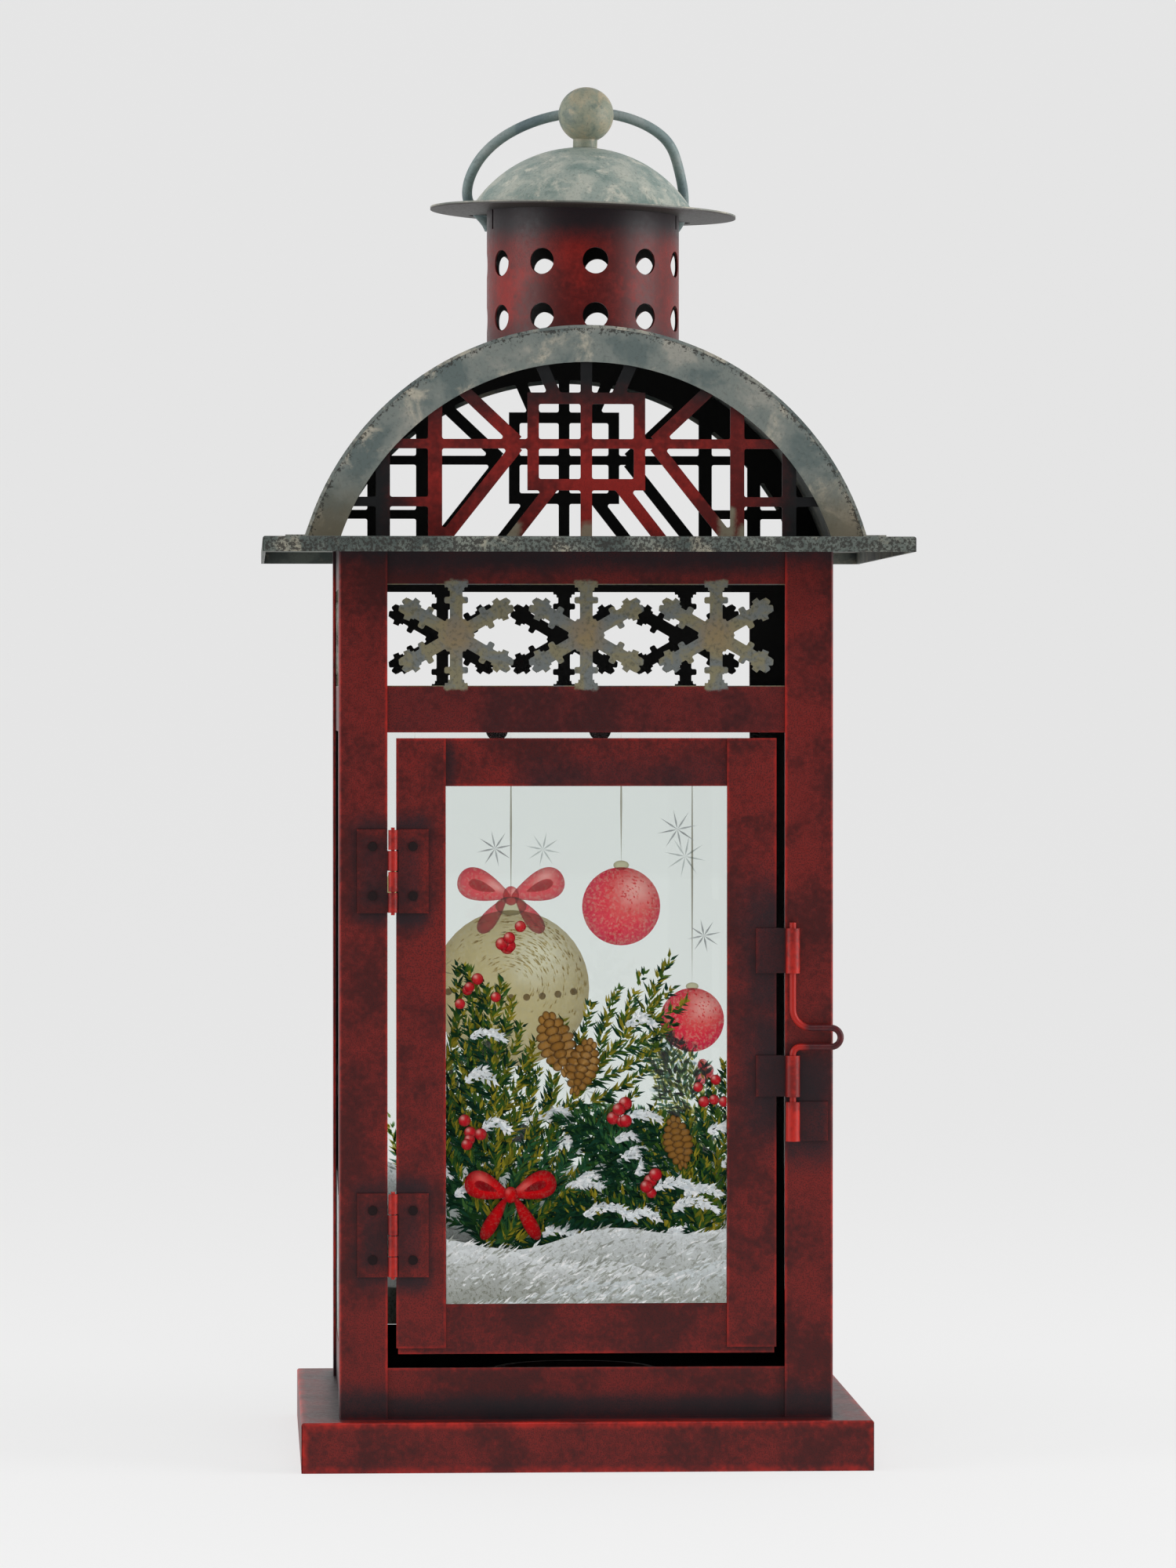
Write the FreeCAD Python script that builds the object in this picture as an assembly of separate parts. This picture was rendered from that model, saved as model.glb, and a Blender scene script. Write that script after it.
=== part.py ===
"""Square tin candle lantern with a barrel roof, a punched flue collar and a glazed door.

Millimetres. The origin is the centre of the base on the surface it stands on, +Z is up, and
the door faces -Y. Every sheet piece is cut flat from tin plate and folded, then spot soldered
to its neighbours, so most pieces here are flat outlines given the thickness of the sheet.
The pieces that take the most skill are the cut sheets, which are the snowflake friezes and
the arched fretwork, and the punched collar that stands on the barrel roof.
"""
import FreeCAD
import Part
import math
import os

V = FreeCAD.Vector

# Sheet, glass, wire and the clearances that the whole lantern shares
tin = 0.8
thin_tin = 0.6
glass_thickness = 2.0
seat = 0.05
slip = 0.3
overrun = 1.0
bend_r = 0.7
straight_turn = 0.985

# Overall plan
body_side = 130.0
base_ledge = 10.0
roof_overhang = 20.0
base_side = body_side + 2 * base_ledge
roof_side = body_side + 2 * roof_overhang

# Heights, stacked from the table upwards
base_height = 13.2
bottom_rail_height = 13.3
door_gap_below = 3.7
door_height = 161.8
door_gap_above = 1.5
mid_band = 12.3
frieze_opening = 26.5
top_band = 11.5
rail_top = base_height + bottom_rail_height
door_z0 = rail_top + door_gap_below
door_z1 = door_z0 + door_height
frieze_z0 = door_z1 + door_gap_above
opening_z0 = frieze_z0 + mid_band
opening_z1 = opening_z0 + frieze_opening
roof_under = opening_z1 + top_band
roof_top = roof_under + tin

# Walls: the posts are outside, and the rails lie behind them
post_leg = 12.7
half = body_side / 2
post_inner = half - tin
rail_inner = post_inner - tin
rail_half = rail_inner - 2 * seat
corner_slit = 0.3


def box(x0, x1, y0, y1, z0, z1):
    """A block between two corners."""
    return Part.makeBox(x1 - x0, y1 - y0, z1 - z0, V(x0, y0, z0))


def rod(radius, start, end):
    """A round bar from one point to another."""
    run = end.sub(start)
    return Part.makeCylinder(radius, run.Length, start, run)


def sheet_xz(points, y0, thickness):
    """A flat piece of sheet: an outline of (x, z) points, given a thickness along +Y."""
    corners = [V(x, y0, z) for x, z in points]
    outline = Part.makePolygon(corners + corners[:1])
    return Part.Face(outline).extrude(V(0, thickness, 0))


def strip(start, end, width, y0, thickness):
    """A straight bar of sheet of one width from one (x, z) point to another."""
    run_x, run_z = end[0] - start[0], end[1] - start[1]
    length = math.hypot(run_x, run_z)
    side_x, side_z = -run_z / length * width / 2, run_x / length * width / 2
    outline = [(start[0] + side_x, start[1] + side_z), (end[0] + side_x, end[1] + side_z),
               (end[0] - side_x, end[1] - side_z), (start[0] - side_x, start[1] - side_z)]
    return sheet_xz(outline, y0, thickness)


def fuse(pieces):
    """Several overlapping solids as one, with the seams between flush faces removed."""
    whole = pieces[0].multiFuse(pieces[1:]) if len(pieces) > 1 else pieces[0]
    return whole.removeSplitter()


def cut_corners(cut_sheet, y0, radius, hollow):
    """The edges across a cut sheet where its outline turns, and has room for the radius on
    both sides. Hollow ones are where the point just inside the turn is open air."""
    found = []
    for edge in cut_sheet.Edges:
        first, last = edge.Vertexes[0].Point, edge.Vertexes[-1].Point
        if abs(first.distanceToPoint(last) - tin) > seat or abs(abs(first.y - last.y) - tin) > seat:
            continue
        corner = V(first.x, y0 + tin / 2, first.z)
        ways = [V(side.CenterOfMass.x - corner.x, 0, side.CenterOfMass.z - corner.z)
                for side in cut_sheet.ancestorsOfType(edge, Part.Face)]
        room = min(way.Length for way in ways)
        ways = [way.normalize() for way in ways]
        if abs(ways[0].dot(ways[1])) > straight_turn:
            continue
        half_angle = ways[0].getAngle(ways[1]) / 2
        inwards = corner + (ways[0] + ways[1]).normalize() * seat
        if radius / math.tan(half_angle) < room and cut_sheet.isInside(inwards, seat / 10, False) != hollow:
            found.append(edge)
    return found


def rounded_corners(cut_sheet, y0, hollow_r, outer_r=0):
    """A cut sheet with its hollow corners rounded to one radius and its outer ones to another."""
    for radius, hollow in ((hollow_r, True), (outer_r, False)):
        if radius:
            cut_sheet = cut_sheet.makeFillet(radius, cut_corners(cut_sheet, y0, radius, hollow))
    return cut_sheet


def turned(shape, degrees):
    """A copy turned about the lantern's upright axis."""
    copy = shape.copy()
    copy.rotate(V(0, 0, 0), V(0, 0, 1), degrees)
    return copy


def moved(shape, x=0, y=0, z=0):
    """A copy moved along the axes."""
    copy = shape.copy()
    copy.translate(V(x, y, z))
    return copy


def mirrored_x(shape):
    """A copy reflected from left to right."""
    return shape.mirror(V(0, 0, 0), V(1, 0, 0))


parts = {}


# Base tray: a shallow pan folded from one sheet and turned upside down, open underneath
def folded_pan(side, top, depth):
    """A square sheet with its four sides folded down, and a slit at each folded corner."""
    edge = side / 2
    inside = edge - tin
    pan = box(-edge, edge, -edge, edge, top - depth, top)
    pan = pan.cut(box(-inside, inside, -inside, inside, top - depth - overrun, top - tin))
    for quarter in range(4):
        slit = box(inside - overrun, edge + overrun, -corner_slit / 2, corner_slit / 2,
                   top - depth - overrun, top - tin)
        slit.translate(V(-inside, 0, 0))
        slit.rotate(V(0, 0, 0), V(0, 0, 1), 45)
        slit.translate(V(inside, inside, 0))
        pan = pan.cut(turned(slit, 90 * quarter))
    folds = [edge_line for edge_line in pan.Edges
             if abs(edge_line.CenterOfMass.z - top) < seat and edge_line.Length > side - overrun]
    return pan.makeFillet(bend_r, folds)


parts["base_tray"] = folded_pan(base_side, base_height, base_height)

# Candle cup: a low pressed cup for a tealight, soldered in the middle of the base
cup_bore_r = 20.25
cup_wall = 0.6
cup_height = 7.0
cup_lip = 1.2
cup_outer_r = cup_bore_r + cup_wall
cup = Part.makeCylinder(cup_outer_r, cup_height, V(0, 0, base_height))
cup = cup.fuse(Part.makeCylinder(cup_outer_r + cup_lip, cup_wall,
                                 V(0, 0, base_height + cup_height - cup_wall)))
cup = cup.cut(Part.makeCylinder(cup_bore_r, cup_height, V(0, 0, base_height + cup_wall)))
parts["candle_cup"] = cup.removeSplitter()


# Corner posts: tin angles folded along the outer corner, from the base to the roof tray
def corner_post():
    """The post at the front right corner."""
    front = box(half - post_leg, half, -half, -post_inner, base_height, roof_under)
    side = box(post_inner, half, -half, -half + post_leg, base_height, roof_under)
    post = fuse([front, side])
    fold = [line for line in post.Edges
            if abs(line.CenterOfMass.x - half) < seat and abs(line.CenterOfMass.y + half) < seat]
    return post.makeFillet(bend_r, fold)


post_names = ["front_right", "back_right", "back_left", "front_left"]
for quarter, name in enumerate(post_names):
    parts["corner_post_" + name] = turned(corner_post(), 90 * quarter)

wall_names = ["front", "right", "back", "left"]
bottom_rail = box(-rail_half, rail_half, -post_inner, -rail_inner, base_height, rail_top)
for quarter, name in enumerate(wall_names):
    parts["bottom_rail_" + name] = turned(bottom_rail, 90 * quarter)

# Snowflake friezes: one cut sheet on each wall, three flakes held by their upright arms
flake_count = 3
flake_pitch_share = 0.327
flake_foot_lap = 0.55
flake_arm_width = 3.3
flake_hub_r = 4.9
flake_tip_body = 4.2
nub_width = 1.7
nub_reach = 3.1
mid_nub_r = 9.2
tip_nub_turns = (25, 98, -25, -98)
flake_hollow_r = 0.35
nub_corner_r = 0.5
flake_pitch = flake_pitch_share * 2 * (half - post_leg)
flake_tip_r = frieze_opening / 2 + flake_foot_lap


def snowflake(y0):
    """A six-armed flake about the origin. Each arm has a pair of nubs half way along it, and
    a small block at its tip with four more nubs."""
    pieces = []
    hub = [(flake_hub_r * math.sin(math.radians(60 * k + 30)),
            flake_hub_r * math.cos(math.radians(60 * k + 30))) for k in range(6)]
    pieces.append(sheet_xz(hub, y0, tin))
    for k in range(6):
        turn = math.radians(60 * k + 90)
        out_x, out_z = math.cos(turn), math.sin(turn)
        tip = (flake_tip_r * out_x, flake_tip_r * out_z)
        pieces.append(strip((0, 0), tip, flake_arm_width, y0, tin))
        mid = (mid_nub_r * out_x, mid_nub_r * out_z)
        pieces.append(strip((mid[0] - nub_reach * out_z, mid[1] + nub_reach * out_x),
                            (mid[0] + nub_reach * out_z, mid[1] - nub_reach * out_x),
                            nub_width, y0, tin))
        pieces.append(strip((tip[0] - flake_tip_body / 2 * out_x, tip[1] - flake_tip_body / 2 * out_z),
                            (tip[0] + flake_tip_body / 2 * out_x, tip[1] + flake_tip_body / 2 * out_z),
                            flake_tip_body, y0, tin))
        for nub_turn in tip_nub_turns:
            way = turn + math.radians(nub_turn)
            nub_end = (tip[0] + nub_reach * math.cos(way), tip[1] + nub_reach * math.sin(way))
            pieces.append(strip(tip, nub_end, nub_width, y0, tin))
    return rounded_corners(fuse(pieces), y0, flake_hollow_r, nub_corner_r)


def frieze():
    """The front frieze: the band above the door, three flakes, and the band under the roof."""
    lower = box(-rail_half, rail_half, -post_inner, -rail_inner, frieze_z0, opening_z0)
    upper = box(-rail_half, rail_half, -post_inner, -rail_inner, opening_z1, roof_under)
    one = moved(snowflake(-post_inner), z=(opening_z0 + opening_z1) / 2)
    first = -(flake_count - 1) / 2 * flake_pitch
    row = [moved(one, x=first + k * flake_pitch) for k in range(flake_count)]
    return fuse([lower, upper] + row)


front_frieze = frieze()
for quarter, name in enumerate(wall_names):
    parts["frieze_" + name] = turned(front_frieze, 90 * quarter)

# Fixed panes on the sides and the back, lying against the rails from inside
pane_lap = 3.0
pane_half = half - post_leg + pane_lap
pane_z0 = rail_top - pane_lap
pane_z1 = frieze_z0 + pane_lap
front_pane = box(-pane_half, pane_half, -rail_inner, -rail_inner + glass_thickness, pane_z0, pane_z1)
pane_walls = [("right", 1), ("back", 2), ("left", 3)]
for name, quarter in pane_walls:
    parts["pane_" + name] = turned(front_pane, 90 * quarter)

# Pane clips: short round-nosed tabs soldered to the rails, folded over the edge of the glass
clip_width = 6.2
clip_foot = 4.5
pane_clip_reach = 6.0
pane_clip_pitch = 29.0
back_clip_shift = 4.5


def clip(x, wall_y, edge_z, way, reach):
    """A clip on the inside of a wall that faces -Y. Its foot lies on wall_y beyond the edge
    of the glass, on the side that way names, and its tab covers reach of the glass."""
    foot_y = wall_y + tin
    back_y = wall_y + glass_thickness + tin
    edge = edge_z + way * slip
    zs = [edge, edge + way * clip_foot, edge + way * tin]
    foot = box(x - clip_width / 2, x + clip_width / 2, wall_y, foot_y, min(zs[:2]), max(zs[:2]))
    bridge = box(x - clip_width / 2, x + clip_width / 2, wall_y, back_y,
                 min(zs[0], zs[2]), max(zs[0], zs[2]))
    nose_z = edge - way * (reach + slip - clip_width / 2)
    tab = box(x - clip_width / 2, x + clip_width / 2, wall_y + glass_thickness, back_y,
              min(nose_z, zs[2]), max(nose_z, zs[2]))
    nose = rod(clip_width / 2, V(x, wall_y + glass_thickness, nose_z), V(x, back_y, nose_z))
    if abs(nose_z - edge) < clip_width / 2 - tin:
        keep = box(x - clip_width, x + clip_width, wall_y, back_y + overrun,
                   min(edge, edge - way * clip_width), max(edge, edge - way * clip_width))
        nose = nose.common(keep)
    return fuse([foot, bridge, tab, nose])


clips = []
for name, quarter in pane_walls:
    shift = back_clip_shift if name == "back" else 0
    for side in (-1, 1):
        place = side * pane_clip_pitch / 2 + shift
        clips.append(turned(clip(place, -rail_inner, pane_z1, 1, pane_clip_reach), 90 * quarter))
        clips.append(turned(clip(place, -rail_inner, pane_z0, -1, pane_clip_reach), 90 * quarter))
parts["pane_clips"] = Part.makeCompound(clips)

# Roof tray: a square pan like the base, shallower and with an open throat for the heat
roof_rim = 4.0
throat_margin = 13.0
roof_tray = folded_pan(roof_side, roof_top, roof_rim)
throat_half = half - throat_margin
parts["roof_tray"] = roof_tray.cut(box(-throat_half, throat_half, -throat_half, throat_half,
                                       roof_under - overrun, roof_top + overrun))

# Barrel roof: one sheet curved over the tray, with feet turned outwards to be soldered down
arch_inset = 11.0
arch_rise = 55.9
foot_flange = 5.0
flue_r = 25.3
flue_shift = 2.2
collar_wall = tin
arch_half = roof_side / 2 - arch_inset
arch_r = (arch_half ** 2 + arch_rise ** 2) / (2 * arch_rise)
arch_z = roof_top + arch_rise - arch_r


def barrel(radius, y0, y1):
    """The part above the roof tray of a round bar that lies along Y."""
    bar = rod(radius, V(0, y0, arch_z), V(0, y1, arch_z))
    return bar.cut(box(-2 * radius, 2 * radius, y0 - overrun, y1 + overrun,
                       arch_z - 2 * radius, roof_top))


vault = barrel(arch_r, -half, half).cut(barrel(arch_r - tin, -half - overrun, half + overrun))
flange = box(arch_half - tin, arch_half + foot_flange, -half, half, roof_top, roof_top + tin)
vault = fuse([vault, flange, mirrored_x(flange)])
flue = Part.makeCylinder(flue_r, 2 * arch_r, V(flue_shift, 0, arch_z))
parts["vault"] = vault.cut(flue)

# Arch fascias: flat rings inside the two ends of the barrel roof
fascia_crown = 9.7
fascia_foot = 9.4
opening_half = arch_half - fascia_foot
opening_rise = arch_rise - fascia_crown
opening_r = (opening_half ** 2 + opening_rise ** 2) / (2 * opening_rise)
opening_z = roof_top + opening_rise - opening_r
fascia = barrel(arch_r - tin - seat, -half, -half + tin)
fascia = fascia.cut(rod(opening_r, V(0, -half - overrun, opening_z), V(0, -half + tin + overrun, opening_z)))
fascia_pair = Part.makeCompound(fascia.Solids)
parts["arch_fascia_front"] = fascia_pair
parts["arch_fascia_back"] = turned(fascia_pair, 180)

# Arched fretwork: cut sheets behind the fascias. Places across are shares of half the arch,
# and places up are shares of its rise.
fret_bar = 3.0
fret_post = 3.7
fret_cross = 2.5
fret_diagonal = 3.2
fret_border_crown = 8.6
fret_border_foot = 8.4
fret_corner_r = 0.6
square_half_share = 0.189
square_low_share = 0.25
square_high_share = 0.656
cross_share = 0.442
inner_post_share = 0.537
outer_post_share = 0.722
side_cross_share = 0.17
node_share = 0.245
node_split_share = 0.012
upper_end_shares = (0.56, 0.847)
lower_end_shares = (0.502, 0.0)
short_low_shares = (0.115, 0.25)
short_low_end_shares = (0.262, 0.0)
short_high_shares = (0.108, 0.66)
short_high_end_shares = (0.225, 1.01)


def fret_point(across_share, up_share):
    """A place on the fretwork as (x, z)."""
    return across_share * arch_half, roof_top + up_share * arch_rise


def fretwork():
    """The front fretwork: a square crossed by bars that run out to a border behind the fascia,
    with slanting bars that spread from the middle of its sides and from its corners."""
    y0 = -half + tin
    top = roof_top + arch_rise
    plate = barrel(arch_r - tin - seat, y0, y0 + tin)
    inner_half = arch_half - fret_border_foot
    inner_rise = arch_rise - fret_border_crown
    inner_r = (inner_half ** 2 + inner_rise ** 2) / (2 * inner_rise)
    inner_z = roof_top + inner_rise - inner_r
    border = plate.cut(rod(inner_r, V(0, y0 - overrun, inner_z), V(0, y0 + tin + overrun, inner_z)))
    bars = [strip((0, roof_top), (0, top), fret_bar, y0, tin)]
    left, low = fret_point(-square_half_share, square_low_share)
    right, high = fret_point(square_half_share, square_high_share)
    reach = fret_bar / 2
    bars.append(strip((left - reach, low), (right + reach, low), fret_bar, y0, tin))
    bars.append(strip((left - reach, high), (right + reach, high), fret_bar, y0, tin))
    cross_end, cross_z = fret_point(1, cross_share)
    bars.append(strip((-cross_end, cross_z), (cross_end, cross_z), fret_cross, y0, tin))
    for side in (-1, 1):
        edge = side * right
        bars.append(strip((edge, low), (edge, high), fret_bar, y0, tin))
        for share in (inner_post_share, outer_post_share):
            post_x = side * share * arch_half
            bars.append(strip((post_x, roof_top), (post_x, top), fret_post, y0, tin))
        inner, side_z = fret_point(side * inner_post_share, side_cross_share)
        bars.append(strip((inner, side_z), (side * arch_half, side_z), fret_cross, y0, tin))
        slants = [((node_share, cross_share + node_split_share), upper_end_shares, overrun),
                  ((node_share, cross_share - node_split_share), lower_end_shares, overrun),
                  (short_low_shares, short_low_end_shares, overrun),
                  (short_high_shares, short_high_end_shares, overrun)]
        for start, end, extra in slants:
            x0, z0 = fret_point(side * start[0], start[1])
            x1, z1 = fret_point(side * end[0], end[1])
            length = math.hypot(x1 - x0, z1 - z0)
            grow = 1 + extra / length
            bars.append(strip((x0, z0), (x0 + (x1 - x0) * grow, z0 + (z1 - z0) * grow),
                              fret_diagonal, y0, tin))
    lattice = fuse(bars).common(plate)
    return rounded_corners(fuse([border] + lattice.Solids), y0, fret_corner_r)


front_fretwork = fretwork()
parts["fretwork_front"] = front_fretwork
parts["fretwork_back"] = turned(front_fretwork, 180)

# Cap: it sits a little askew on the collar, so the brim, dome and ball share one tilt. The
# collar and the cap stand a little to the right of the roof's middle.
collar_rise = 33.4
cap_tilt = 1.8
arch_crown = roof_top + arch_rise
collar_top = arch_crown + collar_rise
cap_seat = V(flue_shift, 0, collar_top)


def tilted(shape):
    """A copy of a piece drawn about the upright axis, moved to the collar and leaning with the
    cap, lower on the right."""
    copy = moved(shape, x=flue_shift)
    copy.rotate(cap_seat, V(0, 1, 0), cap_tilt)
    return copy


# Punched collar: a rolled tube with two rows of round holes, shaped to the roof underneath
collar_holes = 11
collar_hole_r = 3.5
collar_row_rises = (4.7, 19.4)
first_hole_turn = 4.8
tab_slit_width = 1.0
tab_slit_depth = 4.5
tab_slit_turn = 72.0
collar_r = flue_r + collar_wall
flue_foot = V(flue_shift, 0, arch_z)
collar = Part.makeCylinder(collar_r, collar_top - arch_z + 2 * collar_r, flue_foot)
collar = collar.cut(Part.makeCylinder(flue_r, collar_top - arch_z + 3 * collar_r, flue_foot))
collar = collar.cut(rod(arch_r + seat, V(0, -half, arch_z), V(0, half, arch_z)))
above_collar = box(-2 * collar_r, 2 * collar_r, -2 * collar_r, 2 * collar_r,
                   collar_top, collar_top + 4 * collar_r)
collar = collar.cut(tilted(above_collar))
punches = []
for rise in collar_row_rises:
    for k in range(collar_holes):
        punch = rod(collar_hole_r, V(0, -flue_r + collar_hole_r, arch_crown + rise),
                    V(0, -collar_r - overrun, arch_crown + rise))
        punches.append(turned(punch, first_hole_turn + 360 * k / collar_holes))
for side in (-1, 1):
    slit = box(-tab_slit_width / 2, tab_slit_width / 2, -collar_r - overrun, -flue_r + overrun,
               collar_top - tab_slit_depth, collar_top + 2 * overrun)
    punches.append(turned(slit, side * tab_slit_turn))
parts["collar"] = collar.cut(moved(Part.makeCompound(punches), x=flue_shift))

# Brim: a flat ring on the collar, with two holes for the bail behind the middle
brim_seat = 3.3
dome_step = 4.3
brim_width = 11.1
bail_hole_r = 3.0
bail_hole_step = 3.1
bail_hole_turn = math.radians(34.6)
brim_inner_r = flue_r - brim_seat
dome_r = collar_r + dome_step
brim_r = dome_r + brim_width
bail_half = (dome_r + bail_hole_step) * math.cos(bail_hole_turn)
bail_back = (dome_r + bail_hole_step) * math.sin(bail_hole_turn)
brim = Part.makeCylinder(brim_r, tin, V(0, 0, collar_top))
brim = brim.cut(Part.makeCylinder(brim_inner_r, 3 * tin, V(0, 0, collar_top - tin)))
for side in (-1, 1):
    brim = brim.cut(Part.makeCylinder(bail_hole_r, 3 * tin,
                                      V(side * bail_half, bail_back, collar_top - tin)))
parts["brim"] = tilted(brim)

# Dome: a spun cap on the brim
dome_rise = 17.4
brim_top = collar_top + tin
dome_sphere = (dome_r ** 2 + dome_rise ** 2) / (2 * dome_rise)
dome_centre = V(0, 0, brim_top + dome_rise - dome_sphere)
below_brim = box(-2 * dome_sphere, 2 * dome_sphere, -2 * dome_sphere, 2 * dome_sphere,
                 brim_top - 4 * dome_sphere, brim_top)
dome = Part.makeSphere(dome_sphere, dome_centre).cut(Part.makeSphere(dome_sphere - tin, dome_centre))
parts["dome"] = tilted(dome.cut(below_brim))

# Ball: two pressed halves on a short neck, soldered to the top of the dome
ball_r = 7.5
ball_rise = 8.9
neck_r = 3.3
ball_z = brim_top + dome_rise + ball_rise
ball = Part.makeSphere(ball_r, V(0, 0, ball_z))
neck = rod(neck_r, V(0, 0, brim_top + dome_rise - tin), V(0, 0, ball_z))
neck = neck.cut(Part.makeSphere(dome_sphere + seat, dome_centre))
parts["ball"] = tilted(fuse([ball, neck]))

# Door frame: two upright strips in front, two cross strips behind them
door_side_gap = 2.3
door_half = half - post_leg - door_side_gap
stile_width = 13.0
stile_raise = 1.6
door_top_rail = 12.6
door_bottom_rail = 13.1
rail_end_step = 0.5
door_proud = slip
door_face = -half - door_proud
door_back = door_face + tin
door_inside = door_back + tin
stile = box(door_half - stile_width, door_half, door_face, door_back, door_z0 + stile_raise, door_z1)
parts["door_stile_right"] = stile
parts["door_stile_left"] = mirrored_x(stile)
cross_half = door_half - rail_end_step
parts["door_rail_top"] = box(-cross_half, cross_half, door_back, door_inside,
                             door_z1 - door_top_rail, door_z1)
parts["door_rail_bottom"] = box(-cross_half, cross_half, door_back, door_inside,
                                door_z0, door_z0 + door_bottom_rail)

# Door glass and its clips, behind the cross strips
glass_half = door_half - stile_width + pane_lap
glass_z0 = door_z0 + door_bottom_rail - pane_lap
glass_z1 = door_z1 - door_top_rail + pane_lap
door_clip_pitch = 56.0
parts["door_glass"] = box(-glass_half, glass_half, door_inside, door_inside + glass_thickness,
                          glass_z0, glass_z1)
door_clips = []
for side in (-1, 1):
    place = side * door_clip_pitch / 2
    door_clips.append(clip(place, door_inside, glass_z1, 1, pane_lap))
    door_clips.append(clip(place, door_inside, glass_z0, -1, pane_lap))
parts["door_glass_clips"] = Part.makeCompound(door_clips)

# Hinges: two butt hinges whose knuckles stand in the gap between the post and the door
hinge_height = 22.0
hinge_reach = 9.4
hinge_from_bottom = 31.3
hinge_from_top = 34.9
hinge_middles = {"lower": door_z0 + hinge_from_bottom, "upper": door_z1 - hinge_from_top}
knuckle_r = 1.2
hinge_pin_r = 0.5
knuckle_bore_r = hinge_pin_r + seat
knuckles = 4
knuckle_gap = 0.3
pin_head = 0.5
rivet_inset = 5.3
rivet_pitch = 13.0
rivet_r = 0.8
rivet_head_r = 1.25
rivet_head = 0.4
pin_x = -(door_half + half - post_leg) / 2 + 0.2 * knuckle_r
pin_y = door_face - knuckle_r
rivet_hole_r = rivet_r + seat


def hinge_leaf(middle_z, way, face_y, first):
    """One leaf: a plate on the surface face_y, on the side that way names, whose knuckles
    are every second one from first, counted upwards."""
    z0 = middle_z - hinge_height / 2
    plate_end = knuckle_r + slip
    xs = sorted((pin_x + way * plate_end, pin_x + way * hinge_reach))
    pieces = [box(xs[0], xs[1], face_y - thin_tin, face_y, z0, z0 + hinge_height)]
    share = hinge_height / knuckles
    bore = rod(knuckle_bore_r, V(pin_x, pin_y, z0 - overrun), V(pin_x, pin_y, z0 + hinge_height + overrun))
    for k in range(first, knuckles, 2):
        low = z0 + k * share + knuckle_gap / 2
        high = z0 + (k + 1) * share - knuckle_gap / 2
        xs = sorted((pin_x, pin_x + way * (plate_end + thin_tin)))
        pieces.append(box(xs[0], xs[1], face_y - thin_tin, face_y, low, high))
        pieces.append(rod(knuckle_r, V(pin_x, pin_y, low), V(pin_x, pin_y, high)))
    leaf = fuse(pieces).cut(bore)
    for side in (-1, 1):
        centre = V(pin_x + way * rivet_inset, face_y, middle_z + side * rivet_pitch / 2)
        leaf = leaf.cut(rod(rivet_hole_r, centre + V(0, overrun, 0), centre - V(0, 2 * overrun, 0)))
    return leaf


def rivet(x, face_y, z, grip):
    """A rivet through a leaf on face_y and grip of sheet behind it, headed on both sides."""
    shank = rod(rivet_r, V(x, face_y - thin_tin, z), V(x, face_y + grip, z))
    front = rod(rivet_head_r, V(x, face_y - thin_tin - rivet_head, z), V(x, face_y - thin_tin, z))
    back = rod(rivet_head_r, V(x, face_y + grip, z), V(x, face_y + grip + rivet_head, z))
    return fuse([shank, front, back])


pins = []
post_rivets = []
door_rivets = []
rivet_holes = []
for name, middle_z in hinge_middles.items():
    parts["hinge_post_leaf_" + name] = hinge_leaf(middle_z, -1, -half, 0)
    parts["hinge_door_leaf_" + name] = hinge_leaf(middle_z, 1, door_face, 1)
    low_end = V(pin_x, pin_y, middle_z - hinge_height / 2 - pin_head)
    high_end = V(pin_x, pin_y, middle_z + hinge_height / 2 + pin_head)
    pins.append(rod(hinge_pin_r, low_end, high_end))
    for side in (-1, 1):
        z = middle_z + side * rivet_pitch / 2
        post_rivets.append(rivet(pin_x - rivet_inset, -half, z, tin))
        door_rivets.append(rivet(pin_x + rivet_inset, door_face, z, tin))
        for x in (pin_x - rivet_inset, pin_x + rivet_inset):
            rivet_holes.append(rod(rivet_hole_r, V(x, door_face - overrun, z), V(x, door_inside, z)))
parts["hinge_pins"] = Part.makeCompound(pins)
parts["rivets_post_leaves"] = Part.makeCompound(post_rivets)
parts["rivets_door_leaves"] = Part.makeCompound(door_rivets)
for name in ("corner_post_front_left", "door_stile_left"):
    parts[name] = parts[name].cut(Part.makeCompound(rivet_holes))

# Latch: a bent wire bolt that slides in two rolled guides on the door and drops into a
# rolled keeper on the post
bolt_r = 0.85
bolt_fit = 0.25
guide_wall = 0.75
upper_guide_height = 11.8
lower_guide_height = 10.8
keeper_height = 10.3
keeper_rise = 55.8
keeper_gap = 1.4
guide_span = 32.5
guide_reach = 9.6
keeper_reach = 9.4
bolt_inset = 1.9
keeper_z = door_z0 + keeper_rise
lower_guide_z = keeper_z + keeper_height + keeper_gap
upper_guide_z = lower_guide_z + guide_span
guide_r = bolt_r + bolt_fit + guide_wall
bolt_x = half - post_leg + bolt_inset
bolt_y = door_face - guide_r


def rolled_guide(z0, height, way, face_y, reach):
    """A strip rolled round the bolt at one end, with its leaf on the surface face_y."""
    xs = sorted((bolt_x, bolt_x + way * reach))
    leaf = box(xs[0], xs[1], face_y - thin_tin, face_y, z0, z0 + height)
    roll = rod(guide_r, V(bolt_x, bolt_y, z0), V(bolt_x, bolt_y, z0 + height))
    bore = rod(bolt_r + bolt_fit, V(bolt_x, bolt_y, z0 - overrun), V(bolt_x, bolt_y, z0 + height + overrun))
    return fuse([leaf, roll]).cut(bore)


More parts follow.
